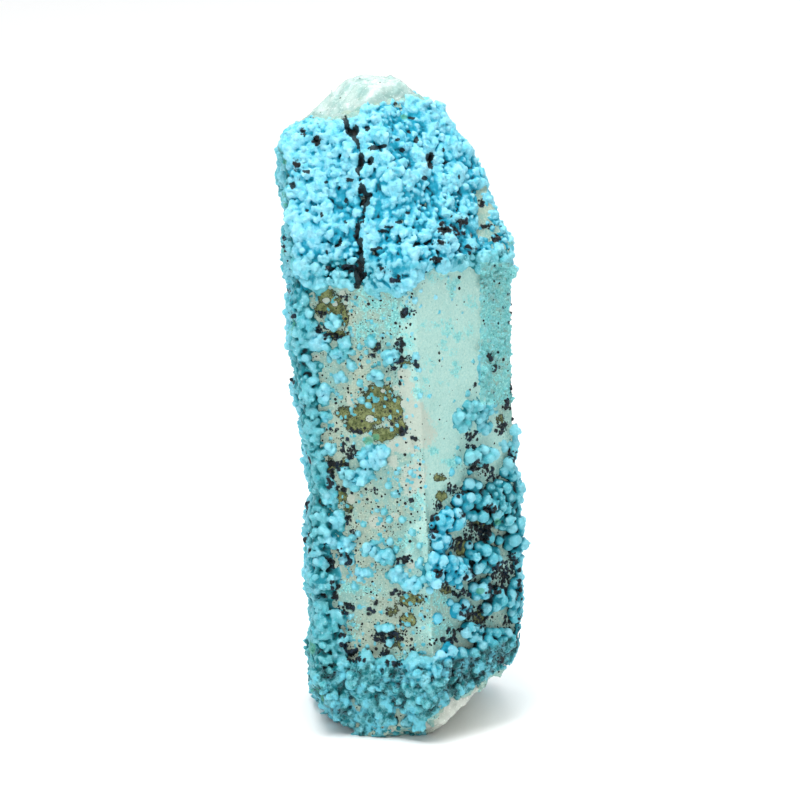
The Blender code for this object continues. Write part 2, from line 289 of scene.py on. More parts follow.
FRONT = np.zeros(len(NAMES), bool)
for n in ("front_left", "front_right", "cap_left", "cap_right", "cap_side_a", "cap_side_b", "cap_side_c", "tip_a", "shoulder", "foot_front"):
    FRONT[FACE[n]] = True
CAPS = np.zeros(len(NAMES), bool)
for n in ("cap_left", "cap_right", "cap_side_a", "cap_side_b", "cap_side_c", "cap_back_right", "cap_back_left", "tip_a", "tip_b", "shoulder"):
    CAPS[FACE[n]] = True


def inside(poly, x, y):
    c = np.zeros(len(x), bool)
    n = len(poly)
    for i in range(n):
        x0, y0 = poly[i]
        x1, y1 = poly[(i + 1) % n]
        if y0 == y1:
            continue
        m = (y0 > y) != (y1 > y)
        c ^= m & (x < (x1 - x0) * (y - y0) / (y1 - y0) + x0)
    return c


TIPLINE = np.array([(250, 118), (299, 124), (311, 116), (325, 120), (345, 119), (359, 115), (364, 101), (376, 96), (387, 93), (400, 95), (413, 87), (440, 60)], float)
CRACK = [(345, 119), (347, 130), (356, 141), (361, 158), (359, 172), (362, 186), (367, 199), (365, 208), (360, 220), (356, 232), (360, 246), (362, 258), (359, 275), (357, 288)]
for (ax0, ay0), (bx0, by0) in zip(CRACK, CRACK[1:]):
    for t in range(5):
        u = t / 5.0
        HOLES.append((ax0 + (bx0 - ax0) * u, ay0 + (by0 - ay0) * u, 2.6, 3.4, 0.75))
STUB = np.array([(420, 730), (431, 715), (453, 701), (482, 682), (500, 668)], float)     # below this line the quartz foot is bare
# how far the growth of the two side faces stands out, in mm, down the frame
LEFT_BULGE = np.array([(120, 0), (290, 0), (300, .6), (320, .3), (345, .7), (365, .2), (390, .9), (405, .1), (425, .4), (445, 0), (480, -.1), (497, -.6), (512, .4),
                       (545, 1.0), (580, 1.4), (600, 1.1), (625, 1.0), (660, 1.4), (683, 2.0), (694, .8), (706, 0), (740, 0)], float)
WINDOW = [(410, 287), (424, 272), (440, 266), (471, 268), (481, 290), (487, 305), (482, 335), (481, 350), (477, 385), (455, 396), (442, 420), (462, 440), (448, 458),
          (432, 500), (424, 520), (419, 470), (420, 430), (413, 400), (413, 350), (411, 310)]


def fields(P, seedless=False):
    """What grows where: every field is a function of the place on the crystal."""
    d, f = depth(P)
    x, y = project(P)
    z = P[:, 2]
    front = FRONT[f]
    # back faces use the same rules with noise instead of the map
    n1 = noise(P, 9.0, 1, 2)
    n2 = noise(P, 3.2, 2, 2)
    n3 = noise(P, 1.3, 3, 2)
    out = {"d": d, "f": f, "x": x, "y": y, "n1": n1, "n2": n2, "n3": n3, "front": front}
    is_cap = CAPS[f]
    fl, fr = f == FACE["front_left"], f == FACE["front_right"]
    left = f == FACE["left"]
    rear = (f == FACE["right"]) | (f == FACE["back_right"]) | (f == FACE["back_left"])
    foot = (f >= FACE["foot_right"])
    blue = spots(BLUE, x, y, front)
    turq = spots(TURQ, x, y, front)
    dark = spots(DARK, x, y, front)
    olive = spots(OLIVE, x, y, front)
    cream = spots(CREAM, x, y, front)
    grey = spots(GREY, x, y, front)
    green = spots(GREENSPOT, x, y)
    hole = spots(HOLES, x, y, front & (is_cap | (y < 292)))
    hole = np.where(hole > -1, hole + 1.15 * n3 + 0.40 * n2 + 0.45 * noise(P, 0.6, 6) + 0.10, hole)
    # --- heaviness of the crust: 0 bare film, 1 thick botryoidal
    cov = np.full(len(P), 0.0, np.float32)
    # cap: thick, down to its lumpy lower border
    lower = 286.0 + 5.0 * n2 - 18.0 * step(395, 440, x) + 7 * np.exp(-((x - 405) / 26.0) ** 2)
    capf = front & (y < lower)
    thin = step(440, 470, x) * step(150, 185, y) * front       # the cap's right side is thinner
    cov = np.where(capf, 1.0 - 0.45 * thin, cov)
    backcap = is_cap & ~front
    z_cap = 56.5 - 3.0 * n2 - 2.2 * n1 - 1.0 * n3
    cov = np.where(backcap, np.clip(0.95 + 0.35 * n1, 0.2, 1), cov)
    cov = np.where((~front) & (z > z_cap) & ~is_cap & ~left, np.clip(0.8 + 0.3 * n2, 0, 1), cov)
    # right shoulder collar on the front right face
    collar = fr & (x > 478) & (y > 236) & (y < 270 + 3 * n3)
    cov = np.where(collar, 0.8, cov)
    # front faces below the cap follow the map
    below = front & ~capf & ~is_cap
    cov = np.where(below & ~collar, np.clip(blue + 0.16 * n3 + 0.1, 0, 1.1), cov)
    # left side: chunky growth with gaps
    side = [P @ PN[FACE[n]] - PD[FACE[n]] for n in ("left", "front_left", "right", "front_right")]
    on_left = step(-1.7, -0.2, side[0] - side[1] + 1.2 * n3) * step(-7, -1, side[0])
    on_right = step(-0.9, 0.9, side[2] - side[3] + 0.6 * n3)
    cov_left = np.clip(0.86 + 0.55 * n2 + 0.25 * n1, 0.0, 1.15)
    cov = np.where(left, cov_left, cov)
    cov = np.where(fl & ~capf, np.maximum(cov, cov_left * on_left), cov)
    out["on_left"] = np.where(left, 1.0, on_left * (fl & ~capf))
    out["on_right"] = on_right
    # the back: patches of crust over film
    patch = 0.42 + 0.75 * n1 + 0.35 * n2 + 0.25 * step(20, 5, z) + 0.3 * step(45, 60, z)
    to_back = side[2] - (P @ PN[FACE["back_right"]] - PD[FACE["back_right"]])
    patch = patch + (0.34 + 0.30 * n2) * step(-3.0, 2.5, to_back + 2.0 * n2 + 1.0 * n3) * step(40, 28, z + 6.0 * n2 + 5.0 * n1 + 2.0 * n3)
    # the front right face's growth carries on round the corner
    near_right = step(-3.0, -0.1, side[3] - side[2] + 1.8 * n3 + 1.2 * n2)
    patch = np.where(f == FACE["right"], patch + (1.45 * step(412, 448, y + 9 * n3) - 0.25) * near_right, patch)
    cov = np.where(rear & (z <= z_cap), np.clip(patch, 0, 1.1), cov)
    # foot: a rolled fibrous rim
    rim_top = 661.0 - 22.0 * step(440, 520, x) + 4 * n2
    rim = front & (y > rim_top)
    rim_z = 7.0 + 1.6 * n2
    rim_b = (~front) & (z < rim_z)
    fiber = np.where(front, step(-4, 6, y - rim_top), step(1.5, -1.5, z - rim_z)).astype(np.float32)
    cov = np.where(rim | (rim_b & ~foot), np.maximum(cov, 0.82), cov)
    low = foot & (f != FACE["base"])
    cov = np.where(low, 0.8, cov)
    # bare quartz: above the broken-tip line, the chipped foot and the resting face
    tipy = np.interp(x, TIPLINE[:, 0], TIPLINE[:, 1])
    tip = np.where(front | (f == FACE["tip_b"]), step(-1.0, 1.5, tipy + 2.2 * n3 - y), step(72.4, 73.8, z + 1.4 * n3 + 2.2 * n2 + 1.4 * n1)).astype(np.float32)
    tip = np.where(is_cap, np.maximum(tip, step(77.6, 78.4, z + 0.9 * n3)), tip)
    chip = ((f == FACE["foot_right"]) & (P @ PN[FACE["foot_right"]] > PD[FACE["foot_right"]] - 5)).astype(np.float32)
    chip *= step(1.0, 2.2, -(P @ PN[FACE["front_right"]] - PD[FACE["front_right"]]) + 0.5 * n3) * step(0.6, 1.6, -(P @ PN[FACE["right"]] - PD[FACE["right"]]) + 0.5 * n3)
    base = (f == FACE["base"]).astype(np.float32)
    edge = -(np.delete(P @ PN.T - PD, FACE["base"], axis=1)).max(1)
    base *= step(1.0, 2.2, edge + 0.8 * n3)
    stub = (front | (f == FACE["foot_side"])) & (x > 426)
    stub = stub * step(-0.6, 1.4, y - np.interp(x, STUB[:, 0], STUB[:, 1]) + 1.6 * n3)
    chip = np.where(f == FACE["foot_right"], 1.0, np.maximum(chip, stub))
    back_chip = ((f == FACE["foot_back"]) & (n1 > -0.1)).astype(np.float32)
    bare = np.maximum(np.maximum(tip, chip), np.maximum(base, back_chip)).astype(np.float32)
    out.update(cov=cov.astype(np.float32), blue=blue, turq=turq, dark=dark, olive=olive, cream=cream, grey=grey, green=green,
               hole=hole, bare=bare, fiber=fiber, tip=tip, left=left, fl=fl, fr=fr, rear=rear, is_cap=is_cap, foot=foot, capf=capf, thin=thin, collar=collar)
    return out


# ------------------------------------------------------------- growth grid --
lo = np.array([-17.2, -17.6, -0.54])
hi = np.array([17.2, 17.4, 84.0])
dims = np.ceil((hi - lo) / H).astype(int) + 1
ax = [np.float32(lo[i]) + np.float32(H) * np.arange(dims[i], dtype=np.float32) for i in range(3)]


def poly_grid():
    D = np.full(tuple(dims), -1e3, np.float32)
    for n, dd in zip(PN, PD):
        a = (ax[0] * np.float32(n[0]))[:, None, None] + (ax[1] * np.float32(n[1]))[None, :, None]
        b = (ax[2] * np.float32(n[2]) - np.float32(dd))[None, None, :]
        np.maximum(D, a + b, out=D)
    return D


log("grid", dims, "cells %.1fM" % (dims.prod() / 1e6))
DP = poly_grid()
log("crystal distance")

# film and layer thickness, on a coarse grid and read back smoothly
CF = 2


def coarse_field(fn):
    cd = [int(math.ceil((dims[i] - 1) / CF)) + 1 for i in range(3)]
    cx = [lo[i] + H * CF * np.arange(cd[i]) for i in range(3)]
    G = np.stack(np.meshgrid(*cx, indexing="ij"), -1).reshape(-1, 3)
    d, _ = depth(G)
    near = np.abs(d) < 3.0
    val = np.zeros(len(G), np.float32)
    val[near] = fn(G[near])
    C = val.reshape(cd)
    for _ in range(2):
        for axis in range(3):
            C = np.moveaxis(C, axis, 0)
            C2 = C.copy()
            C2[1:-1] = (C[:-2] + C[1:-1] + C[2:]) / 3
            C = np.moveaxis(C2, 0, axis)
    for axis in range(3):
        n = dims[axis]
        t = np.arange(n) / CF
        i = np.minimum(t.astype(int), C.shape[axis] - 2)
        w = (t - i).astype(np.float32)
        shp = [1, 1, 1]
        shp[axis] = n
        w = w.reshape(shp)
        C = np.take(C, i, axis) * (1 - w) + np.take(C, i + 1, axis) * w
    return C


def hills(P):
    """The crust's clusters: hills near 1, the valleys between them below 0."""
    h = 1.5 * noise(P, 3.3, 15, 2) + 0.5 * noise(P, 1.5, 16)
    return np.clip(0.45 + h, -1.0, 1.5)


def thickness(P):
    F = fields(P)
    cov, x, y = F["cov"], F["x"], F["y"]
    hill = np.maximum(hills(P), 0.0)
    cap = F["is_cap"] | F["capf"]
    patchy = (F["fl"] | F["fr"]) & ~cap & (F["on_left"] < 0.3) & (F["fiber"] < 0.5)
    t = 0.10 + 0.04 * F["n3"]
    t = t + step(0.35, 0.8, cov) * np.where(patchy, 0.22 + 0.18 * hill, np.where(cap, -0.12 + 0.62 * hill, -0.05 + 0.50 * hill))
    bulge = np.interp(y, LEFT_BULGE[:, 0], LEFT_BULGE[:, 1])
    t = t + F["on_left"] * bulge * step(0.2, 0.7, cov)
    # the foot's rolled rim
    t = t + F["fiber"] * (0.30 * np.where(F["front"], step(700, 680, y), 1.0) + 0.36 * np.clip(noise(P, 2.4, 17, 2), -0.5, 0.6))
    # thinner towards the broken tip
    tipy = np.interp(x, TIPLINE[:, 0], TIPLINE[:, 1])
    t = np.where(F["front"] & (y < tipy + 14), t * (0.35 + 0.65 * step(0, 14, y - tipy)), t)
    t = np.where(cap, t * (1 - 0.75 * step(72.5, 78.0, P[:, 2])), t)
    shoulder = np.exp(-((x - 280.0) / 13.0) ** 2 - ((y - 128.0) / 15.0) ** 2)
    t = t - 0.30 * F["foot"] - 0.55 * shoulder * (t > 0)
    t = t - 0.6 * step(-0.1, 0.6, F["hole"])
    t = t - 0.10 * step(0.0, 0.4, F["olive"]) * (cov < 0.5)
    t = np.where(F["bare"] < 0.05, np.maximum(t, -0.12), t * (1 - F["bare"]) - 1.7 * F["bare"])
    return np.maximum(t, -1.7).astype(np.float32)


TH = coarse_field(thickness)
D = DP - TH
del TH
# fine unevenness of every surface
near = np.flatnonzero(np.abs(D.ravel()) < 0.30)
i, j, k = np.unravel_index(near, D.shape)
P = np.stack([ax[0][i], ax[1][j], ax[2][k]], -1).astype(np.float64)
D.ravel()[near] += (0.035 * noise(P, 0.75, 91) + 0.025 * noise(P, 0.4, 92)).astype(np.float32)
del i, j, k, near
log("layer")


def stamp_ellipsoids(C, A, R, ids=None, IDG=None, base=0):
    """min() a set of ellipsoids into D.  C centres, A local axes (rows), R half-axes, in mm."""
    for i in range(len(C)):
        c, r = C[i], R[i]
        rad = float(r.max()) + 2.2 * H
        a = np.maximum(np.floor((c - rad - lo) / H).astype(int), 0)
        b = np.minimum(np.ceil((c + rad - lo) / H).astype(int) + 1, dims)
        if (b <= a).any():
            continue
        gx = ax[0][a[0]:b[0]] - np.float32(c[0])
        gy = ax[1][a[1]:b[1]] - np.float32(c[1])
        gz = ax[2][a[2]:b[2]] - np.float32(c[2])
        if A is None:
            r0 = np.float32(r[0])
            q = np.sqrt((gx * gx)[:, None, None] + (gy * gy)[None, :, None] + (gz * gz)[None, None, :]) - r0
        else:
            M = (A[i] / r[:, None]).astype(np.float32)
            s = 0.0
            for k in range(3):
                u = (gx * M[k, 0])[:, None, None] + (gy * M[k, 1])[None, :, None] + (gz * M[k, 2])[None, None, :]
                s = s + u * u
            q = (np.sqrt(s) - 1.0) * np.float32(r.min())
        sl = (slice(a[0], b[0]), slice(a[1], b[1]), slice(a[2], b[2]))
        V = D[sl]
        if IDG is not None:
            m = q < V
            IDG[sl][m] = base + i
        np.minimum(V, q, out=V)


def surface_points(rng, count, band=0.5):
    """Random points on the present surface, with outward normals."""
    idx = np.flatnonzero(np.abs(D.ravel()) < band * H)
    idx = idx[rng.permutation(len(idx))[:count]]
    i, j, k = np.unravel_index(idx, D.shape)
    ok = (i > 0) & (j > 0) & (k > 1) & (i < dims[0] - 1) & (j < dims[1] - 1) & (k < dims[2] - 1)
    i, j, k = i[ok], j[ok], k[ok]
    g = np.stack([D[i + 1, j, k] - D[i - 1, j, k], D[i, j + 1, k] - D[i, j - 1, k], D[i, j, k + 1] - D[i, j, k - 1]], -1)
    g /= np.maximum(np.linalg.norm(g, axis=1, keepdims=True), 1e-6)
    P = np.stack([ax[0][i], ax[1][j], ax[2][k]], -1).astype(np.float64)
    P -= g * D[i, j, k][:, None]
    P += rng.uniform(-0.5, 0.5, P.shape) * H * 0.6
    return P, g


def spread(P, rad, gap, occ=None):
    """Dart throwing: keeps points whose own cell isn't within gap * radius of one kept before."""
    if occ is None:
        occ = np.zeros(tuple(dims), bool)
    ijk = np.clip(np.rint((P - lo) / H).astype(int), 0, dims - 1)
    keep = []
    balls = {}
    for t in range(len(P)):
        i, j, k = ijk[t]
        if occ[i, j, k]:
            continue
        keep.append(t)
        m = int(math.ceil(rad[t] * gap[t] / H))
        if m not in balls:
            g = np.arange(-m, m + 1)
            balls[m] = (g[:, None, None] ** 2 + g[None, :, None] ** 2 + g[None, None, :] ** 2) <= (m + 0.1) ** 2
        B = balls[m]
        a0, a1, a2 = max(i - m, 0), max(j - m, 0), max(k - m, 0)
        b0, b1, b2 = min(i + m + 1, dims[0]), min(j + m + 1, dims[1]), min(k + m + 1, dims[2])
        occ[a0:b0, a1:b1, a2:b2] |= B[a0 - i + m:b0 - i + m, a1 - j + m:b1 - j + m, a2 - k + m:b2 - k + m]
    return np.array(keep, int), occ


def on_crystal(x, y):
    """Places on the crystal seen at frame points, and the face there."""
    x, y = np.asarray(x, float), np.asarray(y, float)
    f = PX * DIST
    dirs = FWD[None] + RIGHT[None] * ((x - 400) / f)[:, None] + UP[None] * ((400 - y) / f)[:, None]
    t_in = np.full(len(x), -1e9)
    which = np.zeros(len(x), int)
    t_out = np.full(len(x), 1e9)
    for i in range(len(PD)):
        dn = dirs @ PN[i]
        t = (PD[i] - EYE @ PN[i]) / dn
        ent = dn < 0
        m = ent & (t > t_in)
        t_in[m] = t[m]
        which[m] = i
        t_out = np.where(~ent, np.minimum(t_out, t), t_out)
    return EYE + dirs * t_in[:, None], which, t_in < t_out


rng = np.random.default_rng(4242)

# ---- lumps: the crust's swellings ---------------------------------------------------------
P, N = surface_points(rng, 90000)
F = fields(P)
nrmf = PN[F["f"]]
up = np.array([0, 0, 1.0])
t1 = np.cross(up, nrmf)
t1 /= np.maximum(np.linalg.norm(t1, axis=1, keepdims=True), 1e-6)
t2 = np.cross(nrmf, t1)
cov = F["cov"]
kk = len(P)
fib = F["fiber"] > 0.5
lf = F["on_left"] > 0.5
low_right = F["fr"] & (F["y"] > 455) & ~fib
patchy = (F["fl"] | F["fr"]) & ~fib & ~low_right & ~lf & ~F["capf"]
capz = F["is_cap"] | F["capf"]
# half-lengths, relative widths, heights and spacing of the swellings in each kind of growth
KINDS = ((None, (0.6, 1.3), (0.65, 0.95), (0.30, 0.75), 1.05), (capz, (0.50, 1.35), (0.65, 0.95), (0.45, 0.95), 0.88), (lf, (0.4, 1.15), (0.40, 0.85), (0.35, 0.90), 0.92),
         (fib, (0.6, 1.9), (0.35, 0.75), (0.40, 1.00), 1.0), (low_right, (0.5, 1.25), (0.6, 0.95), (0.40, 0.95), 1.10), (patchy, (0.28, 0.55), (0.7, 1.0), (0.18, 0.40), 1.2))
long_, wide, high, gapl = np.zeros(kk), np.zeros(kk), np.zeros(kk), np.zeros(kk)
for mask, lr, wr, hr, gp in KINDS:
    m = np.ones(kk, bool) if mask is None else mask
    c = int(m.sum())
    long_[m] = rng.uniform(*lr, c)
    wide[m] = long_[m] * rng.uniform(*wr, c)
    high[m] = rng.uniform(*hr, c)
    gapl[m] = gp
hill = hills(P)
size = rng.uniform(0.75, 1.15, kk)
high *= 1 - 0.6 * step(72.5, 77.5, P[:, 2]) * capz
high *= 1 - 0.62 * step(684, 706, F["y"]) * F["front"]
high *= 1 - 0.65 * step(488, 506, F["x"]) * step(600, 622, F["y"])
long_ = np.where(F["foot"], long_ * 0.50, long_)
wide = np.where(F["foot"], wide * 0.60, wide)
high *= (1 - 0.60 * F["foot"]) * (1 - 0.75 * np.exp(-((F["x"] - 280.0) / 13.0) ** 2 - ((F["y"] - 128.0) / 15.0) ** 2))
ang = np.radians(22.0) + 0.45 * rng.normal(size=kk)
ang = np.where(fib, 0.2 + 2.8 * noise(P, 3.0, 8), ang)
ang = np.where(lf | low_right, rng.uniform(0, math.pi, kk), ang)
heavy = np.where(patchy, cov > 0.72, cov > 0.55) & (F["bare"] < 0.1) & (F["hole"] < -0.1)
heavy &= ~((F["dark"] > 0.45) & ~F["is_cap"] & (rng.uniform(0, 1, kk) < 0.8))
heavy &= ~(F["thin"] > 0.4) | (rng.uniform(0, 1, kk) < 0.35)
heavy &= (hill > np.where(patchy, -0.6, -0.12)) | (rng.uniform(0, 1, kk) < 0.12)
sel = heavy & (rng.uniform(0, 1, kk) < 0.9)
P, t1, t2, nf, long_, wide, high, ang, gapl, size = (v[sel] for v in (P, t1, t2, nrmf, long_, wide, high, ang, gapl, size))
keep, _ = spread(P, (long_ + wide) * 0.5 * size, gapl)
P, t1, t2, nf, long_, wide, high, ang = (v[keep] for v in (P, t1, t2, nf, long_, wide, high, ang))
ca, sa = np.cos(ang)[:, None], np.sin(ang)[:, None]
A = np.stack([t1 * ca + t2 * sa, -t1 * sa + t2 * ca, nf], 1)
stamp_ellipsoids(P + nf * (0.05 * high)[:, None], A, np.stack([long_, wide, high], 1))
log("lumps", len(P))

# ---- balls --------------------------------------------------------------------------------
IDG = np.full(tuple(dims), -1, np.int32)
bx = np.array(BALLS, float)
PB, fB, ok = on_crystal(bx[:, 0], bx[:, 1])
PB, fB, rB = PB[ok], fB[ok], bx[ok, 2] / PX
ij = np.clip(np.rint((PB - lo) / H).astype(int), 0, dims - 1)
# stand each named ball on what is already there
for t in range(len(PB)):
    n = PN[fB[t]]
    s = 0.0
    for k in range(40):
        q = np.clip(np.rint((PB[t] + n * s - lo) / H).astype(int), 0, dims - 1)
        if D[tuple(q)] > 0:
            break
        s += 0.08
    PB[t] = PB[t] + n * (s + 0.25 * rB[t])
occ = np.zeros(tuple(dims), bool)
_, occ = spread(PB, rB, np.full(len(rB), 1.15), occ)

NAMED = len(rB)
BALL_C, BALL_R = [PB], [rB]
stamp_ellipsoids(PB, None, np.stack([rB, rB, rB], 1), IDG=IDG)
for layer in (0, 1):
    P, N = surface_points(rng, 700000)
    F = fields(P)
    cov, n3 = F["cov"], F["n3"]
    kk = len(P)
    u = rng.uniform(0, 1, kk)
    fib = F["fiber"] > 0.5
    lf = F["on_left"] > 0.5
    lowr = F["fr"] & (F["y"] > 455) & ~fib
    capz = F["is_cap"] | F["capf"]
    strip = F["fr"] & (F["x"] > 480) & (F["y"] > 262) & (F["y"] < 402)
    if layer == 0:
        rad = 0.22 + 0.30 * u ** 2.4
        rad = np.where(capz, (0.19 + 0.24 * u ** 2.2) * (1 - 0.2 * step(73, 78, P[:, 2])), rad)
        rad = np.where(lowr, 0.28 + 0.50 * u ** 1.7, rad)
        rad = np.where(fib, 0.20 + 0.32 * u ** 2, rad)
        rad = np.where(lf, 0.18 + 0.24 * u ** 2.2, rad)
    else:
        rad = 0.15 + 0.09 * u
    rad = np.where(strip, rng.uniform(0.15, 0.26, kk), rad)
    gap = np.full(kk, 1.12 if layer == 0 else 1.7)
    gap = np.where(fib, 1.7, np.where(capz | lf, 1.0 if layer == 0 else 1.5, gap))
    c2 = cov + 0.22 * n3
    pr = step(0.45, 0.62, c2)
    hill = hills(P)
    open_ = hill < np.where(capz | lf, 0.10, -0.5)         # the valleys between clusters stay open
    pr = pr * np.where(open_, 0.28, 1.0)
    pr = pr * np.where(fib, np.where(noise(P, 1.9, 26) > 0.0, 1.3, 0.25), 1.0)
    # the smoother swellings carry few balls
    pr = pr * np.where(capz, np.where(noise(P, 2.2, 23) > -0.25, 1.0, 0.25), 1.0)
    pr = np.where(fib, pr * 0.30, pr)
    if layer == 1:
        pr = pr * np.where(capz, 0.45, np.where(lowr | lf, 0.4, 0.5)) * (noise(P, 2.4, 24) > -0.05)
    pr = np.where(strip, np.where(noise(P, 0.8, 21) > -0.25, 0.8, 0.05), pr)
    # stray single balls on the film
    if layer == 0:
        stray = 0.005 * step(-0.2, 0.6, F["n2"]) + 0.005 * F["fl"] * step(300, 380, F["y"]) * step(420, 380, F["y"])
    else:
        stray = 0.016 * step(-0.2, 0.6, F["n2"]) * (~lowr) + 0.012 * F["fl"]
    stray = np.where(F["rear"], stray * 0.6, stray)
    pr = np.where((pr < 0.02) & ~strip & (cov < 0.4), stray, pr)
    inwin = inside(WINDOW, F["x"], F["y"]) & F["fr"]
    pr = np.where(inwin & (F["blue"] < 0) & ~strip, 0.0006, pr)
    pr = pr * (F["hole"] < 0.0) * (F["bare"] < 0.25)
    pr = pr * (1 - 0.88 * step(0.25, 0.6, F["dark"]) * ~F["is_cap"])
    sel = rng.uniform(0, 1, kk) < pr
    P, N, rad, gap = P[sel], N[sel], rad[sel], gap[sel]
    o = np.argsort(-rad + 0.10 * rng.normal(size=len(rad)), kind="stable")
    P, N, rad, gap = P[o], N[o], rad[o], gap[o]
    keep, occ = spread(P, rad, gap, occ if layer == 0 else None)
    P, N, rad = P[keep], N[keep], rad[keep]
    sink = np.where(lowr[sel][o][keep], rng.uniform(-0.15, 0.4, len(rad)), rng.uniform(-0.60, 0.12, len(rad)))
    C = P + N * (rad * sink)[:, None]
    stamp_ellipsoids(C, None, np.stack([rad, rad, rad], 1), IDG=IDG, base=sum(len(q) for q in BALL_R))
    BALL_C.append(C)
    BALL_R.append(rad)
R = np.concatenate(BALL_R)
log("balls", len(R))

# ---- dark grains: navy and black bloom in the map's dark places -------------------------------
P, N = surface_points(rng, 200000)
F = fields(P)
dk = F["dark"] + 0.35 * F["n3"]
rear_dark = (F["rear"] | F["left"]) & (noise(P, 4.2, 31, 2) > 0.52) & (F["cov"] < 0.75)
sel = ((dk > 0.22) | rear_dark) & (F["bare"] < 0.2) & (rng.uniform(0, 1, len(P)) < np.where(dk > 0.5, 0.5, 0.22))
P, N = P[sel], N[sel]
rad = 0.13 + 0.20 * rng.uniform(0, 1, len(P)) ** 2
keep, _ = spread(P, rad, np.full(len(P), 1.5))
P, N, rad = P[keep], N[keep], rad[keep]
NB = len(R)
stamp_ellipsoids(P + N * (rad * 0.2)[:, None], None, np.stack([rad, rad, rad], 1), IDG=IDG, base=NB)
ND = len(rad)
log("dark grains", ND)

# the growth's own grain: knobs and pits on every lump, less on the smooth balls low on the right
near = np.flatnonzero(np.abs(D.ravel()) < 0.32)
i, j, k = np.unravel_index(near, D.shape)
P = np.stack([ax[0][i], ax[1][j], ax[2][k]], -1).astype(np.float64)
dN, fN = depth(P)
xN, yN = project(P)
amp = step(0.20, 0.45, dN)
amp = amp * np.where((fN == FACE["front_right"]) & (yN > 400), 0.35, np.where(fN == FACE["front_left"], 1.0, np.where(fN == FACE["left"], 1.5, 1.15)))
D.ravel()[near] += (amp * (0.07 * noise(P, 1.0, 93) + 0.055 * noise(P, 0.50, 94) - 0.01)).astype(np.float32)
del i, j, k, near

# nothing reaches under the resting plane
np.maximum(D, (0.015 - ax[2])[None, None, :], out=D)


def surface_nets(D, org, h):
    S = D < 0
    c = [S[i:S.shape[0] - 1 + i, j:S.shape[1] - 1 + j, k:S.shape[2] - 1 + k] for i in (0, 1) for j in (0, 1) for k in (0, 1)]
    any_ = c[0].copy()
    all_ = c[0].copy()
    for q in c[1:]:
        any_ |= q
        all_ &= q
    act = any_ & ~all_
    del any_, all_, c
    idx = np.flatnonzero(act)
    i, j, k = np.unravel_index(idx, act.shape)
    vid = np.full(act.shape, -1, np.int32)
    vid.ravel()[idx] = np.arange(len(idx), dtype=np.int32)
    val = {}
    for a in (0, 1):
        for b in (0, 1):
            for e in (0, 1):
                val[(a, b, e)] = D[i + a, j + b, k + e]
    pos = np.zeros((len(idx), 3), np.float64)
    cnt = np.zeros(len(idx))
    for axis in range(3):
        for p in (0, 1):
            for q in (0, 1):
                c0 = [0, 0, 0]
                o = [t for t in range(3) if t != axis]
                c0[o[0]], c0[o[1]] = p, q
                c1 = list(c0)
                c1[axis] = 1
                v0, v1 = val[tuple(c0)], val[tuple(c1)]
                m = (v0 < 0) != (v1 < 0)
                t = v0[m] / (v0[m] - v1[m])
                add = np.zeros((m.sum(), 3))
                add[:] = c0
                add[:, axis] = t
                pos[m] += add
                cnt[m] += 1
    pos /= cnt[:, None]
    V = (np.stack([i, j, k], 1) + pos) * h + org
    quads = []
    for axis in range(3):
        o = [t for t in range(3) if t != axis]
        a = [slice(1, -1)] * 3
        a[axis] = slice(0, -1)
        b = list(a)
        b[axis] = slice(1, None)
        s0, s1 = S[tuple(a)], S[tuple(b)]
        ch = np.flatnonzero(s0 != s1)
        if not len(ch):
            continue
        g = list(np.unravel_index(ch, s0.shape))
        inside0 = s0.ravel()[ch]
        for t in o:
            g[t] = g[t] + 1
        cells = []
        for da, db in ((-1, -1), (0, -1), (0, 0), (-1, 0)):
            cc = list(g)
            cc[o[0]] = cc[o[0]] + da
            cc[o[1]] = cc[o[1]] + db
            cells.append(vid[cc[0], cc[1], cc[2]])
        Q = np.stack(cells, 1)
        flip = ~inside0 if axis != 1 else inside0
        Q[flip] = Q[flip][:, ::-1]
        quads.append(Q)
    Q = np.concatenate(quads)
    Q = Q[(Q >= 0).all(1)]
    return V, Q




def crowding(radius):
    """Share of solid in a box round every grid point: high in crevices, low on knobs."""
    r = int(round(radius / H))
    S = np.clip(0.5 - D / (2 * H), 0, 1)
    for axis in range(3):
        S = np.moveaxis(S, axis, 0)
        c = np.cumsum(S, axis=0, dtype=np.float32)
        out = np.empty_like(S)
        n = S.shape[0]
        out[r + 1:n - r] = c[2 * r + 1:] - c[:n - 2 * r - 1]
        out[:r + 1] = c[r:2 * r + 1]
        out[n - r:] = c[-1] - c[n - 2 * r - 1:n - r - 1]
        S = np.moveaxis(out / (2 * r + 1), 0, axis)
    return S


V, Q = surface_nets(D, lo, H)
log("skin", len(V), "points", len(Q), "quads")

# ------------------------------------------------------------------- meshes --
def srgb(r, g, b, a=1.0):
    out = []
    for c in (r, g, b):
        c /= 255.0
        out.append(c / 12.92 if c <= 0.04045 else ((c + 0.055) / 1.055) ** 2.4)
    return (*out, a)


def make_mesh(name, V, quads=None, tris=None, smooth=True):
    quads = np.zeros((0, 4), np.int32) if quads is None else quads
    tris = np.zeros((0, 3), np.int32) if tris is None else tris
    me = bpy.data.meshes.new(name)
    me.vertices.add(len(V))
    me.vertices.foreach_set("co", ((V + SHIFT) * MM).astype(np.float32).ravel())
    loops = np.concatenate([quads.ravel(), tris.ravel()]).astype(np.int32)
    me.loops.add(len(loops))
    me.loops.foreach_set("vertex_index", loops)
    nf = len(quads) + len(tris)
    start = np.concatenate([np.arange(len(quads)) * 4, len(quads) * 4 + np.arange(len(tris)) * 3]).astype(np.int32)
    me.polygons.add(nf)
    me.polygons.foreach_set("loop_start", start)
    me.polygons.foreach_set("use_smooth", np.full(nf, smooth))
    me.update(calc_edges=True)
    me.validate()
    ob = bpy.data.objects.new(name, me)
    bpy.context.scene.collection.objects.link(ob)
    return ob


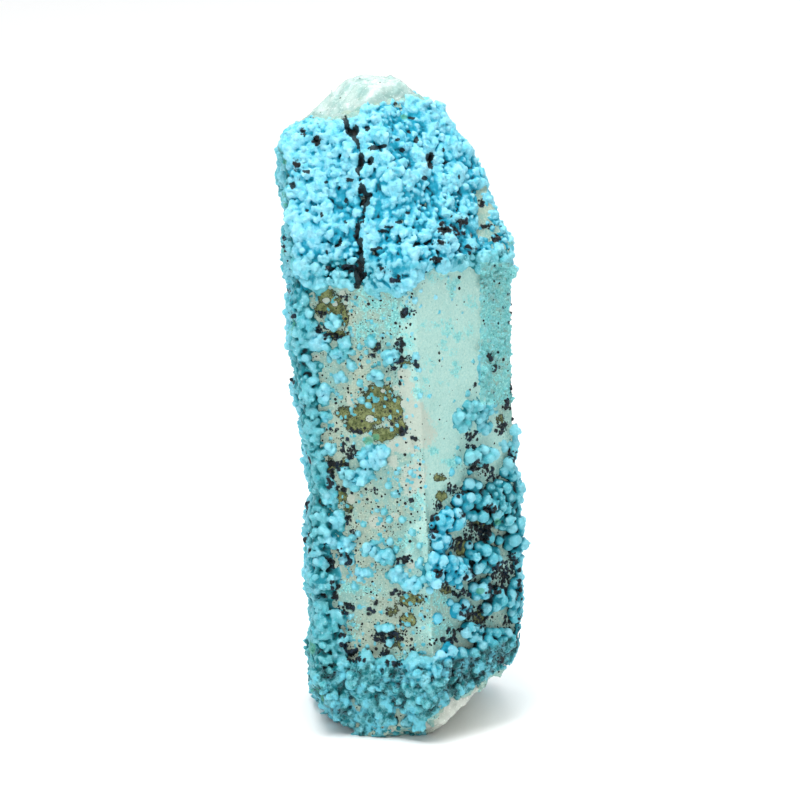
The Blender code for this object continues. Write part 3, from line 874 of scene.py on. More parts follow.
def paint(ob, name, A):
    at = ob.data.attributes.new(name, "FLOAT_COLOR", "POINT")
    at.data.foreach_set("color", np.ascontiguousarray(A, np.float32).ravel())


def face_normals(V, Q):
    n = np.cross(V[Q[:, 2]] - V[Q[:, 0]], V[Q[:, 3]] - V[Q[:, 1]])
    return n / np.maximum(np.linalg.norm(n, axis=1, keepdims=True), 1e-12)


def vertex_edges(T, nv):
    e = np.concatenate([T[:, [0, 1]], T[:, [1, 2]], T[:, [2, 0]]])
    e = np.sort(e, axis=1)
    key = np.unique(e[:, 0].astype(np.int64) * nv + e[:, 1])
    return np.stack([key // nv, key % nv], 1).astype(np.int64)


def blur(x, E, n, times):
    deg = np.bincount(E[:, 0], minlength=n) + np.bincount(E[:, 1], minlength=n)
    deg = np.maximum(deg, 1)
    for _ in range(times):
        s = np.bincount(E[:, 0], weights=x[E[:, 1]], minlength=n) + np.bincount(E[:, 1], weights=x[E[:, 0]], minlength=n)
        x = 0.35 * x + 0.65 * s / deg
    return x


# only what stands out of the crystal is kept as crust
dV, fV = depth(V)
Q = Q[(dV[Q] > -0.42).any(1)]
used = np.zeros(len(V), bool)
used[Q.ravel()] = True
remap = np.cumsum(used) - 1
V, dV = V[used], dV[used]
Q = remap[Q]

# the skin is thinned where it is smooth, keeping the painted film of the front faces fine
BUDGET = 830000
F = fields(V)
# the crust draws in where it turns under at the low right corner
lip = 14.3 - 0.35 * np.clip(10.0 - V[:, 2], 0.0, 3.0)
near = step(4.5, 1.5, np.abs(V[:, 1] + 6.2)) * step(6.3, 8.0, V[:, 2]) * step(13.4, 11.6, V[:, 2])
V[:, 0] -= 0.7 * near * np.clip(V[:, 0] - lip, 0.0, None)
if 2 * len(Q) > BUDGET:
    me = bpy.data.meshes.new("skin")
    me.vertices.add(len(V))
    me.vertices.foreach_set("co", V.astype(np.float32).ravel())
    me.loops.add(4 * len(Q))
    me.loops.foreach_set("vertex_index", Q.ravel().astype(np.int32))
    me.polygons.add(len(Q))
    me.polygons.foreach_set("loop_start", (np.arange(len(Q)) * 4).astype(np.int32))
    me.update(calc_edges=True)
    tmp = bpy.data.objects.new("skin", me)
    bpy.context.scene.collection.objects.link(tmp)
    film_w = ((dV < 0.34) & (dV > -0.05)).astype(float)
    keepw = film_w * np.where(F["fl"] | F["fr"], 1.0, np.where(F["rear"], 0.35, 0.15))
    vg = tmp.vertex_groups.new(name="w")
    for lev in (0.15, 0.35, 1.0):
        ids = np.flatnonzero(np.abs(keepw - lev) < 0.01)
        if len(ids):
            vg.add(ids.tolist(), lev, "REPLACE")
    dm = tmp.modifiers.new("thin", "DECIMATE")
    dm.ratio = BUDGET / (2.0 * len(Q))
    dm.vertex_group = "w"
    dm.invert_vertex_group = True
    dm.vertex_group_factor = 0.004
    dm.use_collapse_triangulate = True
    bpy.context.view_layer.update()
    dg = bpy.context.evaluated_depsgraph_get()
    m2 = bpy.data.meshes.new_from_object(tmp.evaluated_get(dg), depsgraph=dg)
    V = np.zeros(len(m2.vertices) * 3, np.float32)
    m2.vertices.foreach_get("co", V)
    V = V.reshape(-1, 3).astype(np.float64)
    m2.calc_loop_triangles()
    T = np.zeros(len(m2.loop_triangles) * 3, np.int32)
    m2.loop_triangles.foreach_get("vertices", T)
    T = T.reshape(-1, 3).astype(np.int64)
    bpy.data.objects.remove(tmp, do_unlink=True)
    bpy.data.meshes.remove(me)
    bpy.data.meshes.remove(m2)
else:
    T = np.concatenate([Q[:, [0, 1, 2]], Q[:, [0, 2, 3]]]).astype(np.int64)
dV, fV = depth(V)
nv = len(V)
E = vertex_edges(T, nv)
F = fields(V)
log("thinned to", nv, "points", len(T), "triangles")

ij = np.clip(np.rint((V - lo) / H).astype(int), 0, dims - 1)
vid = IDG[ij[:, 0], ij[:, 1], ij[:, 2]]
w = dV.astype(np.float64)
# crowding of solid round each point: the crust colour turns it into painted shade in crevices and painted highlights on
# knobs
occ_s = crowding(0.45)[ij[:, 0], ij[:, 1], ij[:, 2]]
occ_m = crowding(1.15)[ij[:, 0], ij[:, 1], ij[:, 2]]
occ_s, occ_m = blur(occ_s, E, nv, 1), blur(occ_m, E, nv, 1)
is_ball = (vid >= 0) & (vid < NB)
is_dark = vid >= NB
ballness = blur(is_ball.astype(float), E, nv, 1)
darkness = blur(is_dark.astype(float), E, nv, 1)
tint_of = np.random.default_rng(77).uniform(0, 1, NB + ND + 1)
tint = np.where(vid >= 0, tint_of[np.maximum(vid, 0)], 0.5)
tint = blur(tint, E, nv, 1)

x, y = F["x"], F["y"]
crust = step(0.17, 0.34, w + 0.06 * F["n3"])
crust = np.maximum(crust, step(0.3, 0.7, ballness))
crust = crust * (F["bare"] < 0.9)
green_rear = (noise(V, 3.6, 41, 2) > 0.72) & (F["rear"] | F["left"])
malach = np.maximum(F["green"], np.where(green_rear, 0.5, -1)) + 0.25 * F["n3"]
hole = np.maximum(F["hole"], -1)
inwin = inside(WINDOW, x, y) & F["fr"]
film_t = np.where(F["front"], F["turq"], 0.55 * F["n1"] + 0.5 * F["n2"]) + 0.30 * F["n3"]
strip = F["fr"] & (x > 480) & (y > 262) & (y < 405)
film_t = np.where(strip, 0.95 + 0.4 * noise(V, 0.9, 22), film_t)
film_t = np.where(F["fl"], film_t + 0.35 * np.exp(-(((x - 372) / 40) ** 2 + ((y - 330) / 40) ** 2)), film_t)
olive = np.where(F["front"], F["olive"], np.where(F["is_cap"], -1, 1.6 * (noise(V, 5.5, 51, 2) - 0.42))) + 0.30 * F["n3"]
cream = np.where(F["front"], F["cream"], 1.5 * (noise(V, 4.5, 52, 2) - 0.25)) + 0.15 * F["n3"]
olive = np.where(F["front"], olive - 1.4 * np.maximum(F["cream"], 0) * (F["cream"] > 0), olive)
dark = np.where(F["front"], F["dark"], np.where((F["cov"] < 0.75), 1.7 * (noise(V, 4.2, 31, 2) - 0.40), -1)) + 0.22 * F["n3"]
speck = np.where(F["front"], 0.0, 0.35 + 0.5 * F["n1"])
speck = np.where(F["fl"], 0.36 + 0.40 * F["n2"], speck)
speck = np.where(F["fl"], speck + 0.55 * np.exp(-(((x - 392) / 26) ** 2 + ((y - 530) / 45) ** 2)) + 0.45 * np.exp(-(((x - 375) / 38) ** 2 + ((y - 625) / 30) ** 2))
                 + 0.60 * np.exp(-(((x - 372) / 34) ** 2 + ((y - 325) / 34) ** 2)) + 0.45 * np.exp(-(((x - 345) / 22) ** 2 + ((y - 375) / 26) ** 2)) + 0.4 * np.exp(-(((x - 402) / 14) ** 2 + ((y - 372) / 14) ** 2)), speck)
speck = np.where(F["fr"], 0.10 + 0.4 * step(475, 500, y) * step(440, 415, x), speck)
speck = np.where(inwin, 0.03, speck)
speck = np.where(F["fr"] & (x > 480), 0.22 + 0.3 * step(560, 600, y), speck)
near_corner = step(-4.0, -0.4, V @ PN[FACE["front_right"]] - PD[FACE["front_right"]] + 1.3 * F["n3"] + 0.8 * F["n2"])
xw = x + 6.0 * F["n3"] + 6.0 * F["n2"]
yw = y + 7.0 * noise(V, 1.6, 61) + 7.0 * noise(V, 4.0, 62)
PALE = [(436, 378), (484, 378), (500, 398), (506, 440), (500, 462), (462, 478), (430, 486)]
rim = [(r * math.cos(t), r * math.sin(t)) for r, n in ((3.5, 5), (8.0, 9)) for t in (2 * math.pi * (k + 0.3) / n for k in range(n))]
soft = sum((inside(WINDOW, xw + dx, yw + dy) | inside(PALE, xw + dx, yw + dy)).astype(float) for dx, dy in rim) / len(rim) * F["fr"]
soft = blur(soft, E, nv, 4)
warm = np.where(F["fl"], 0.6 - 0.46 * near_corner, 0.4 - 0.34 * soft) + (0.3 - 0.2 * soft) * F["n2"]

hill = hills(V)
valley = step(0.25, -0.05, hill) * (F["is_cap"] | F["capf"] | (F["on_left"] > 0.5) | (F["fiber"] > 0.5)) * (F["cov"] > 0.5)
crust = np.maximum(crust, np.where((F["is_cap"] | F["capf"]) & (F["cov"] > 0.8) & (F["bare"] < 0.2) & (noise(V, 1.7, 44) < 0.45), 0.95, 0))
lowright = F["fr"] & (F["y"] > 470)
fade = F["on_left"] * (0.25 + 0.75 * step(-8.5, -2.5, V @ PN[FACE["front_left"]] - PD[FACE["front_left"]]))
# painted shade: the crust is darker in the valleys between clusters, on the left growth near the front corner, on the
# foot's rim and on the low right cluster
painted_shade = 0.10 * valley * (1 - 0.5 * (F["left"] * (fade < 0.5))) + 0.10 * fade + 0.09 * F["fiber"] + 0.13 * lowright
crust = np.where(strip, crust * 0.42, crust)
A1 = np.stack([crust, np.clip(dark, -1, 1.5) * 0.4 + 0.4, np.clip(olive, -1, 1.5) * 0.4 + 0.4, np.clip(cream, -1, 1.5) * 0.4 + 0.4], 1)
A2 = np.stack([np.clip(malach, -1, 1.5) * 0.4 + 0.4, 1 - occ_s, np.clip(1 - occ_m - 2 * painted_shade, 0, 1), tint], 1)
A3 = np.stack([np.clip(film_t, -1, 1.5) * 0.4 + 0.4, F["fiber"], np.clip(speck, 0, 1), darkness], 1)
teal = np.where(F["is_cap"] & F["front"], 0.08, 0.42) + 0.22 * F["n1"] + 0.3 * F["fiber"] + 0.3 * F["thin"]
teal = np.where(F["fl"] & (F["cov"] < 0.6), teal + 0.22, teal)
teal = np.where(strip, 0.60, teal) + 0.30 * fade - 0.22 * lowright * (F["fiber"] < 0.5) + 0.30 * F["fiber"] * noise(V, 2.8, 46, 2)
A4 = np.stack([np.clip(teal, 0, 1), np.clip(np.maximum(F["grey"], np.where(F["rear"], 0.9 * F["n2"], -1)), 0, 1), np.clip(warm, 0, 1), step(-0.1, 0.35, hole)], 1)
log("openness of the crust, tenths:", np.round(np.percentile((0.5 * (1 - occ_s) + 0.5 * (1 - occ_m))[crust > 0.5], [2, 10, 25, 50, 75, 90, 98]), 2))
log("colour fields")

GROUP = {
    "crust_cap_left": ("cap_left", "tip_a", "shoulder", "tip_b"),
    "crust_cap_right": ("cap_right",),
    "crust_cap_side": ("cap_side_a", "cap_side_b", "cap_side_c"),
    "crust_cap_back": ("cap_back_right", "cap_back_left"),
    "crust_front_left": ("front_left",),
    "crust_front_right": ("front_right",),
    "crust_left_low": ("left",),
    "crust_left_high": (),
    "crust_right": ("right",),
    "crust_back_right": ("back_right",),
    "crust_back_left": ("back_left",),
    "crust_foot": ("foot_right", "foot_side", "foot_left", "foot_front", "foot_back", "base"),
}
gof = np.zeros(len(NAMES), int)
for gi, (gname, members) in enumerate(GROUP.items()):
    for m in members:
        gof[FACE[m]] = gi
cen = V[T].mean(1)
_, fq = depth(cen)
lab = gof[fq]
GNAMES = list(GROUP)
lab[(lab == GNAMES.index("crust_left_low")) & (cen[:, 2] > 36.0)] = GNAMES.index("crust_left_high")


def components(Tp, n):
    """Connected pieces of a set of triangles: a label for every vertex."""
    L = np.arange(n)
    e = np.concatenate([Tp[:, [0, 1]], Tp[:, [1, 2]]])
    for _ in range(200):
        m = np.minimum(L[e[:, 0]], L[e[:, 1]])
        L2 = L.copy()
        np.minimum.at(L2, e[:, 0], m)
        np.minimum.at(L2, e[:, 1], m)
        L2 = L2[L2]
        L2 = L2[L2]
        if (L2 == L).all():
            break
        L = L2
    return L


crusts = []
for gi, (gname, members) in enumerate(GROUP.items()):
    Tg = T[lab == gi]
    if not len(Tg):
        continue
    us = np.unique(Tg)
    loc = np.full(nv, -1, np.int64)
    loc[us] = np.arange(len(us))
    Tp = loc[Tg]
    # crumbs of a few faces are left out
    L = components(Tp, len(us))
    size = np.bincount(L[Tp[:, 0]], minlength=len(us))
    Tp = Tp[size[L[Tp[:, 0]]] >= 60]
    us2 = np.unique(Tp)
    loc2 = np.full(len(us), -1, np.int64)
    loc2[us2] = np.arange(len(us2))
    Tp = loc2[Tp]
    L = L[us2]
    us = us[us2]
    P = V[us]
    n_in = PN[[FACE[m] for m in (members or ("left",))]].mean(0)
    if gname == "crust_foot":
        n_in = np.array([0.0, 0.0, -1.0])
    n_in /= np.linalg.norm(n_in)
    # directed edges with no partner
    de = np.concatenate([Tp[:, [0, 1]], Tp[:, [1, 2]], Tp[:, [2, 0]]])
    k_, inv = np.unique(de.min(1) * len(P) + de.max(1), return_inverse=True)
    net = np.rint(np.bincount(inv.ravel(), weights=np.where(de[:, 0] < de[:, 1], 1.0, -1.0))).astype(int)
    st = np.where(net > 0, k_ // len(P), k_ % len(P))
    en = np.where(net > 0, k_ % len(P), k_ // len(P))
    bd = np.stack([np.repeat(st, np.abs(net)), np.repeat(en, np.abs(net))], 1)
    # one inner point for every time the border passes a point
    bv, at = np.unique(bd, return_inverse=True)
    at = at.reshape(-1, 2)

    def rank(ix):
        o = np.argsort(ix, kind="stable")
        r = np.empty(len(ix), np.int64)
        r[o] = np.arange(len(ix)) - np.searchsorted(ix[o], ix[o])
        return r

    cnt = np.maximum(np.bincount(at[:, 0], minlength=len(bv)), np.bincount(at[:, 1], minlength=len(bv)))
    off = np.concatenate([[0], np.cumsum(cnt)[:-1]])
    sp = off[at[:, 0]] + rank(at[:, 0])
    ep = off[at[:, 1]] + rank(at[:, 1])
    npass = int(cnt.sum())
    vsrc = np.repeat(bv, cnt)
    # straight in: along the middle of the faces in reach, so a corner's walls run into the corner
    sd = P[vsrc] @ PN.T - PD
    wt = np.exp((sd - sd.max(1, keepdims=True)) / 0.6)
    inw = wt @ PN
    inw /= np.linalg.norm(inw, axis=1, keepdims=True)
    go = ((sd + 0.5) / np.clip(inw @ PN.T, 0.3, 1)).max(1)
    PB2 = P[vsrc] - inw * np.maximum(go, 0.1)[:, None]
    PB2[:, 2] = np.maximum(PB2[:, 2], 0.05)
    comp = L[vsrc]
    uc, ci = np.unique(comp, return_inverse=True)
    apex = np.zeros((len(uc), 3))
    for c in range(len(uc)):
        apex[c] = PB2[ci == c].mean(0) - n_in * 0.6
    nP = len(P)
    allP = np.concatenate([P, PB2, apex])
    a, b = bd[:, 0], bd[:, 1]
    walls = np.stack([b, a, nP + sp, nP + ep], 1)
    caps = np.stack([nP + ep, nP + sp, nP + npass + ci[sp]], 1)
    ob = make_mesh(gname, allP, walls, np.concatenate([Tp, caps]))
    flat = np.ones(len(walls) + len(Tp) + len(caps), bool)
    flat[:len(walls)] = False
    flat[len(walls) + len(Tp):] = False
    ob.data.polygons.foreach_set("use_smooth", flat)
    ev = np.zeros(2 * len(ob.data.edges), np.int32)
    ob.data.edges.foreach_get("vertices", ev)
    ev = np.sort(ev.reshape(-1, 2), axis=1).astype(np.int64)
    rim_keys = np.minimum(bd[:, 0], bd[:, 1]) * len(allP) + np.maximum(bd[:, 0], bd[:, 1])
    ob.data.edges.foreach_set("use_edge_sharp", np.isin(ev[:, 0] * len(allP) + ev[:, 1], rim_keys))
    src = np.concatenate([us, us[vsrc], us[np.array([np.flatnonzero(comp == c)[0] for c in uc], int)] * 0 + us[0]]) if len(uc) else us
    for nm, A in (("kind", A1), ("form", A2), ("film", A3), ("hue", A4)):
        paint(ob, nm, A[src])
    crusts.append(ob)
    log(gname, "border", len(bd), "unpaired", int(np.abs(np.bincount(bd[:, 0], minlength=nP) - np.bincount(bd[:, 1], minlength=nP)).sum()))
    log(gname, "triangles", len(Tp) + len(caps) + 2 * len(walls), "pieces", len(uc))

# ---------------------------------------------------------------- quartz body --
HQ = 0.28
qlo, qhi = np.array([-16.2, -16.6, -0.6]), np.array([16.2, 15.8, 83.4])
qd = np.ceil((qhi - qlo) / HQ).astype(int) + 1
qa = [qlo[i] + HQ * np.arange(qd[i]) for i in range(3)]
DQ = np.full(tuple(qd), -1e3, np.float32)
for n, dd in zip(PN, PD):
    np.maximum(DQ, ((qa[0] * n[0])[:, None, None] + (qa[1] * n[1])[None, :, None] + (qa[2] * n[2] - dd)[None, None, :]).astype(np.float32), out=DQ)
near = np.flatnonzero(np.abs(DQ.ravel()) < 1.6)
i, j, k = np.unravel_index(near, DQ.shape)
P = np.stack([qa[0][i], qa[1][j], qa[2][k]], -1)
_, f = depth(P)


def chips(P, size, seed, tilt):
    """Conchoidal chips: every cell is a small facet with a tilt of its own."""
    r = np.random.default_rng(seed)
    pts = np.concatenate([r.uniform([-17, -17, -1], [17, 17, 12], (int(34 * 34 * 13 / size ** 3), 3)), r.uniform([-17, -17, 66], [17, 17, 84], (int(34 * 34 * 18 / size ** 3), 3))])
    dirs = r.normal(size=pts.shape)
    dirs /= np.linalg.norm(dirs, axis=1, keepdims=True)
    lev = r.uniform(-0.5, 0.5, len(pts))
    from mathutils import kdtree
    kd = kdtree.KDTree(len(pts))
    for t, p in enumerate(pts):
        kd.insert(p, t)
    kd.balance()
    out = np.zeros(len(P))
    for t in range(len(P)):
        co, q, _ = kd.find(P[t])
        out[t] = (P[t] - pts[q]) @ dirs[q] * tilt + lev[q] * 0.12
    return out


rough = np.zeros(len(P))
tipz = step(70, 74, P[:, 2])
ftz = step(10, 6, P[:, 2])
m = (tipz > 0) | (ftz > 0)
rel = 0.55 * chips(P[m] + 0.5 * np.stack([noise(P[m], 1.5, 61), noise(P[m], 1.5, 62), noise(P[m], 1.5, 63)], 1), 1.5, 5, 0.34) + 0.10 * noise(P[m], 0.8, 64, 2)
rough[m] = rel * np.maximum(tipz[m], 0.8 * ftz[m])
rough += 0.05 * noise(P, 4.0, 65, 2)
rough[f == FACE["base"]] = np.minimum(rough[f == FACE["base"]], 0.0)
dq = DQ.ravel()
dq[near] = dq[near] + 0.16 + rough.astype(np.float32)
DQ = dq.reshape(DQ.shape)
np.maximum(DQ, (0.0 - qa[2]).astype(np.float32)[None, None, :], out=DQ)
VQ, QQ = surface_nets(DQ, qlo, HQ)
quartz = make_mesh("quartz_crystal", VQ, QQ)
vg = quartz.vertex_groups.new(name="fine")
fine = np.maximum(step(71, 74, VQ[:, 2]), step(9, 6, VQ[:, 2]))
for lev in (0.33, 0.66, 1.0):
    vg.add(np.flatnonzero(np.abs(fine - lev) < 0.17).tolist(), lev, "REPLACE")
dm = quartz.modifiers.new("thin", "DECIMATE")
dm.ratio = 0.26
dm.vertex_group = "fine"
dm.invert_vertex_group = True
dm.vertex_group_factor = 8.0
bpy.context.view_layer.update()
dg = bpy.context.evaluated_depsgraph_get()
me = bpy.data.meshes.new_from_object(quartz.evaluated_get(dg), depsgraph=dg)
quartz.modifiers.clear()
old = quartz.data
quartz.data = me
bpy.data.meshes.remove(old)
me.name = "quartz_crystal"
co = np.zeros(len(me.vertices) * 3, np.float32)
me.vertices.foreach_get("co", co)
co = co.reshape(-1, 3) / MM - SHIFT
tipm = step(60, 70, co[:, 2])
paint(quartz, "stain", np.stack([tipm, step(12, 3, co[:, 2]), 0.5 + 0.5 * noise(co, 1.6, 71, 2), 0.5 + 0.5 * noise(co, 4.0, 72, 2)], 1))
log("quartz", len(me.vertices), "points", len(me.polygons), "faces")


# ---------------------------------------------------------------- materials --
class Nodes:
    def __init__(self, name):
        self.mat = bpy.data.materials.new(name)
        self.mat.use_nodes = True
        self.t = self.mat.node_tree
        self.bsdf = self.t.nodes["Principled BSDF"]
        self.coord = self.t.nodes.new("ShaderNodeTexCoord").outputs["Object"]

    def put(self, kind, **props):
        n = self.t.nodes.new(kind)
        for k, v in props.items():
            setattr(n, k, v)
        return n

    def link(self, a, b):
        self.t.links.new(a, b)

    def set(self, sock, v):
        if hasattr(v, "is_output"):
            self.link(v, sock)
        else:
            sock.default_value = v

    def math(self, op, a, b=0.0, c=0.0, clamp=False):
        n = self.put("ShaderNodeMath", operation=op, use_clamp=clamp)
        for s, v in zip(n.inputs, (a, b, c)):
            self.set(s, v)
        return n.outputs[0]

    def ramp(self, v, a, b, lo=0.0, hi=1.0, smooth=True):
        n = self.put("ShaderNodeMapRange", interpolation_type="SMOOTHSTEP" if smooth else "LINEAR")
        for s, q in zip(n.inputs, (v, a, b, lo, hi)):
            self.set(s, q)
        return n.outputs[0]

    def mix(self, f, a, b, mode="MIX"):
        n = self.put("ShaderNodeMix", data_type="RGBA", blend_type=mode)
        self.set(n.inputs[0], f)
        self.set(n.inputs[6], a)
        self.set(n.inputs[7], b)
        return n.outputs[2]

    def attr(self, name):
        n = self.put("ShaderNodeAttribute", attribute_name=name)
        s = self.put("ShaderNodeSeparateColor")
        self.link(n.outputs["Color"], s.inputs[0])
        return s.outputs[0], s.outputs[1], s.outputs[2], n.outputs["Alpha"]

    def noise(self, mm, detail=2.0, rough=0.5, dist=0.0, shift=0.0):
        n = self.put("ShaderNodeTexNoise")
        vec = self.coord
        if shift:
            mp = self.put("ShaderNodeMapping")
            mp.inputs["Location"].default_value = (shift, shift * 0.7, -shift)
            self.link(vec, mp.inputs[0])
            vec = mp.outputs[0]
        self.link(vec, n.inputs["Vector"])
        n.inputs["Scale"].default_value = 1.0 / (mm * MM)
        n.inputs["Detail"].default_value = detail
        n.inputs["Roughness"].default_value = rough
        n.inputs["Distortion"].default_value = dist
        return n.outputs["Fac"]

    def cells(self, mm, feature="F1", rand=1.0, warp=None):
        n = self.put("ShaderNodeTexVoronoi", feature=feature)
        self.link(warp if warp is not None else self.coord, n.inputs["Vector"])
        n.inputs["Scale"].default_value = 1.0 / (mm * MM)
        n.inputs["Randomness"].default_value = rand
        return n

    def bump(self, height, dist_mm, strength=1.0, normal=None):
        n = self.put("ShaderNodeBump")
        n.inputs["Distance"].default_value = dist_mm * MM
        n.inputs["Strength"].default_value = strength
        self.link(height, n.inputs["Height"])
        if normal is not None:
            self.link(normal, n.inputs["Normal"])
        return n.outputs[0]


PAINTED_LIGHT_STEPS = (0.20, 0.36, 0.51, 0.58, 0.76)      # openness steps for painted shade and painted highlight: near-black in crevices, darker teal on flanks, lighter on knobs


def chrysocolla():
    g = Nodes("chrysocolla_crust")
    m_crust, m_dark, m_olive, m_cream = g.attr("kind")
    m_mal, open_s, open_m, tint = g.attr("form")
    m_film, fiber, speck, grain = g.attr("film")
    teal, grey, warm, hole = g.attr("hue")
    nf = g.noise(0.22, 3.0, 0.6)            # fine
    nm = g.noise(0.7, 3.0, 0.55, shift=0.013)
    nl = g.noise(2.6, 2.0, 0.5, shift=0.031)
    nf0 = g.math("SUBTRACT", nf, 0.5)
    nm0 = g.math("SUBTRACT", nm, 0.5)

    def field(v, kf, km, kv=1.0):
        """A signed field made ragged: kv scales its own slope about the zero at 0.4."""
        v = g.math("MULTIPLY_ADD", g.math("SUBTRACT", v, 0.4), kv, 0.4)
        a = g.math("MULTIPLY_ADD", nf0, kf, v)
        return g.math("MULTIPLY_ADD", nm0, km, a)

    # the thin film between the growths
    film = g.mix(g.ramp(g.math("MULTIPLY_ADD", nm0, 1.2, warm), 0.15, 0.85), srgb(122, 170, 164), srgb(158, 174, 156))
    film = g.mix(g.ramp(warm, 0.30, 0.10, 0.0, 0.9), film, srgb(166, 208, 200))
    film = g.mix(g.ramp(nf, 0.48, 0.72, 0.0, 0.45), film, srgb(214, 228, 212))
    film = g.mix(g.ramp(nf, 0.46, 0.30, 0.0, 0.35), film, srgb(112, 156, 146))
    film = g.mix(g.ramp(nl, 0.45, 0.75, 0.0, 0.22), film, srgb(128, 180, 172))
    film = g.mix(g.math("MULTIPLY", grey, 0.65), film, srgb(136, 146, 130))
    film = g.mix(g.ramp(field(m_cream, 0.25, 0.35, 0.8), 0.42, 0.52, 0.0, 0.85), film, g.mix(nf, srgb(158, 172, 158), srgb(194, 202, 190)))
    # turquoise wisps and grains in the film
    tq = g.ramp(field(m_film, 0.9, 1.1, 0.55), 0.44, 0.56)
    turq = g.mix(g.ramp(nf, 0.35, 0.7), srgb(64, 172, 176), srgb(150, 220, 216))
    film = g.mix(g.math("MULTIPLY", tq, 0.80), film, turq)
    # olive windows with a dark rim of painted shadow, where the film steps down into them
    ov = field(m_olive, 0.50, 0.62, 0.8)
    rim = g.math("MULTIPLY", g.ramp(ov, 0.42, 0.46), g.ramp(ov, 0.56, 0.50))
    olv = g.mix(g.ramp(nm, 0.35, 0.68), srgb(78, 90, 44), srgb(128, 138, 88))
    olv = g.mix(g.ramp(nf, 0.52, 0.64, 0.0, 0.75), olv, srgb(40, 48, 28))
    film = g.mix(g.ramp(ov, 0.45, 0.49), film, olv)
    # painted shadow line round the olive windows
    film = g.mix(g.math("MULTIPLY", rim, 0.90), film, srgb(28, 36, 24))
    # pinholes
    wv = g.put("ShaderNodeVectorMath", operation="ADD")
    g.link(g.coord, wv.inputs[0])
    wn = g.put("ShaderNodeTexNoise")
    g.link(g.coord, wn.inputs["Vector"])
    wn.inputs["Scale"].default_value = 1.0 / (0.3 * MM)
    ws = g.put("ShaderNodeVectorMath", operation="SCALE")
    g.link(wn.outputs["Color"], ws.inputs[0])
    ws.inputs["Scale"].default_value = 0.00016
    g.link(ws.outputs[0], wv.inputs[1])
    c = g.cells(0.60, warp=wv.outputs[0])
    pick = g.put("ShaderNodeSeparateColor")
    g.link(c.outputs["Color"], pick.inputs[0])
    here = g.math("LESS_THAN", pick.outputs[0], g.math("MULTIPLY", speck, 0.95))
    size = g.ramp(g.math("POWER", pick.outputs[1], 2.0), 0.0, 1.0, 0.14, 0.40, smooth=False)
    dot = g.math("MULTIPLY", g.math("LESS_THAN", c.outputs["Distance"], size), here)
    c2 = g.cells(0.30, warp=wv.outputs[0])
    pick2 = g.put("ShaderNodeSeparateColor")
    g.link(c2.outputs["Color"], pick2.inputs[0])
    here2 = g.math("LESS_THAN", pick2.outputs[0], g.math("MULTIPLY", speck, 0.55))
    dot2 = g.math("MULTIPLY", g.math("LESS_THAN", c2.outputs["Distance"], 0.30), here2)
    dots = g.math("MAXIMUM", dot, g.math("MULTIPLY", dot2, 0.80))
    film = g.mix(dots, film, srgb(8, 16, 18))

    # the crust itself
    # painted light and shade: the crust goes near-black in crevices, darker teal on the flanks and lighter on knobs, by
    # how crowded each place is
    op = g.math("ADD", g.math("MULTIPLY", open_s, 0.5), g.math("MULTIPLY", open_m, 0.5))
    op = g.math("MULTIPLY_ADD", nf0, 0.10, op)
    blue = g.mix(g.ramp(g.math("MULTIPLY_ADD", nm0, 0.5, teal), 0.1, 0.9), srgb(84, 192, 216), srgb(56, 162, 170))
    blue = g.mix(g.ramp(nl, 0.45, 0.8, 0.0, 0.5), blue, srgb(56, 160, 184))
    pale = g.mix(g.ramp(tint, 0.0, 1.0, smooth=False), blue, g.mix(g.ramp(teal, 0.2, 0.9, 0.50, 0.25), blue, srgb(190, 236, 247)))
    pale = g.mix(g.ramp(nf, 0.50, 0.80, 0.0, 0.38), pale, srgb(190, 238, 248))
    # painted highlight: the open knobs are mixed lighter
    pale = g.mix(g.ramp(op, PAINTED_LIGHT_STEPS[3], PAINTED_LIGHT_STEPS[4], 0.0, 0.75), pale, g.mix(teal, srgb(168, 230, 247), srgb(122, 204, 212)))
    # painted glints: tiny near-white highlights on the crust
    pale = g.mix(g.ramp(nf, 0.66, 0.78, 0.0, 0.55), pale, srgb(218, 246, 250))
    # painted shade: the darker teal of the flanks between knobs
    deep = g.mix(g.ramp(teal, 0.2, 0.8), srgb(2, 150, 180), srgb(4, 118, 126))
    cr = g.mix(g.ramp(op, PAINTED_LIGHT_STEPS[1], PAINTED_LIGHT_STEPS[2]), deep, pale)
    # painted shade: near-black in the tightest crevices
    cr = g.mix(g.ramp(op, PAINTED_LIGHT_STEPS[0], PAINTED_LIGHT_STEPS[1]), srgb(0, 30, 36), cr)
    # painted highlight along the fibrous ridges' crests and painted shade in their troughs, lined up with the bump
    # below
    ridge = g.math("ABSOLUTE", g.math("MULTIPLY", g.math("SUBTRACT", g.noise(0.95, 4.0, 0.6, shift=0.047), 0.5), 2.0))
    crest_highlight = g.math("MULTIPLY", fiber, g.ramp(ridge, 0.16, 0.02))
    trough_shade = g.math("MULTIPLY", fiber, g.ramp(ridge, 0.30, 0.55))
    cr = g.mix(g.math("MULTIPLY", crest_highlight, 0.35), cr, srgb(140, 212, 222))
    cr = g.mix(g.math("MULTIPLY", trough_shade, 0.55), cr, srgb(4, 104, 124))
    nfo = g.noise(1.7, 3.0, 0.6, shift=0.061)
    cr = g.mix(g.math("MULTIPLY", fiber, g.ramp(nfo, 0.51, 0.60, 0.0, 0.70)), cr, srgb(112, 208, 228))
    cr = g.mix(g.math("MULTIPLY", fiber, g.ramp(nfo, 0.47, 0.38, 0.0, 0.80)), cr, srgb(8, 96, 98))
    cr = g.mix(g.math("MULTIPLY", fiber, g.math("MULTIPLY", g.ramp(nfo, 0.40, 0.34), g.ramp(nf, 0.46, 0.56))), cr, srgb(6, 30, 32))
    crm = g.ramp(field(m_crust, 0.5, 0.0), 0.35, 0.62)
    col = g.mix(crm, film, cr)
    # malachite green
    ml = g.ramp(field(m_mal, 0.4, 0.4), 0.50, 0.68)
    grn = g.mix(nf, srgb(30, 120, 92), srgb(92, 182, 140))
    col = g.mix(g.math("MULTIPLY", ml, 0.70), col, grn)
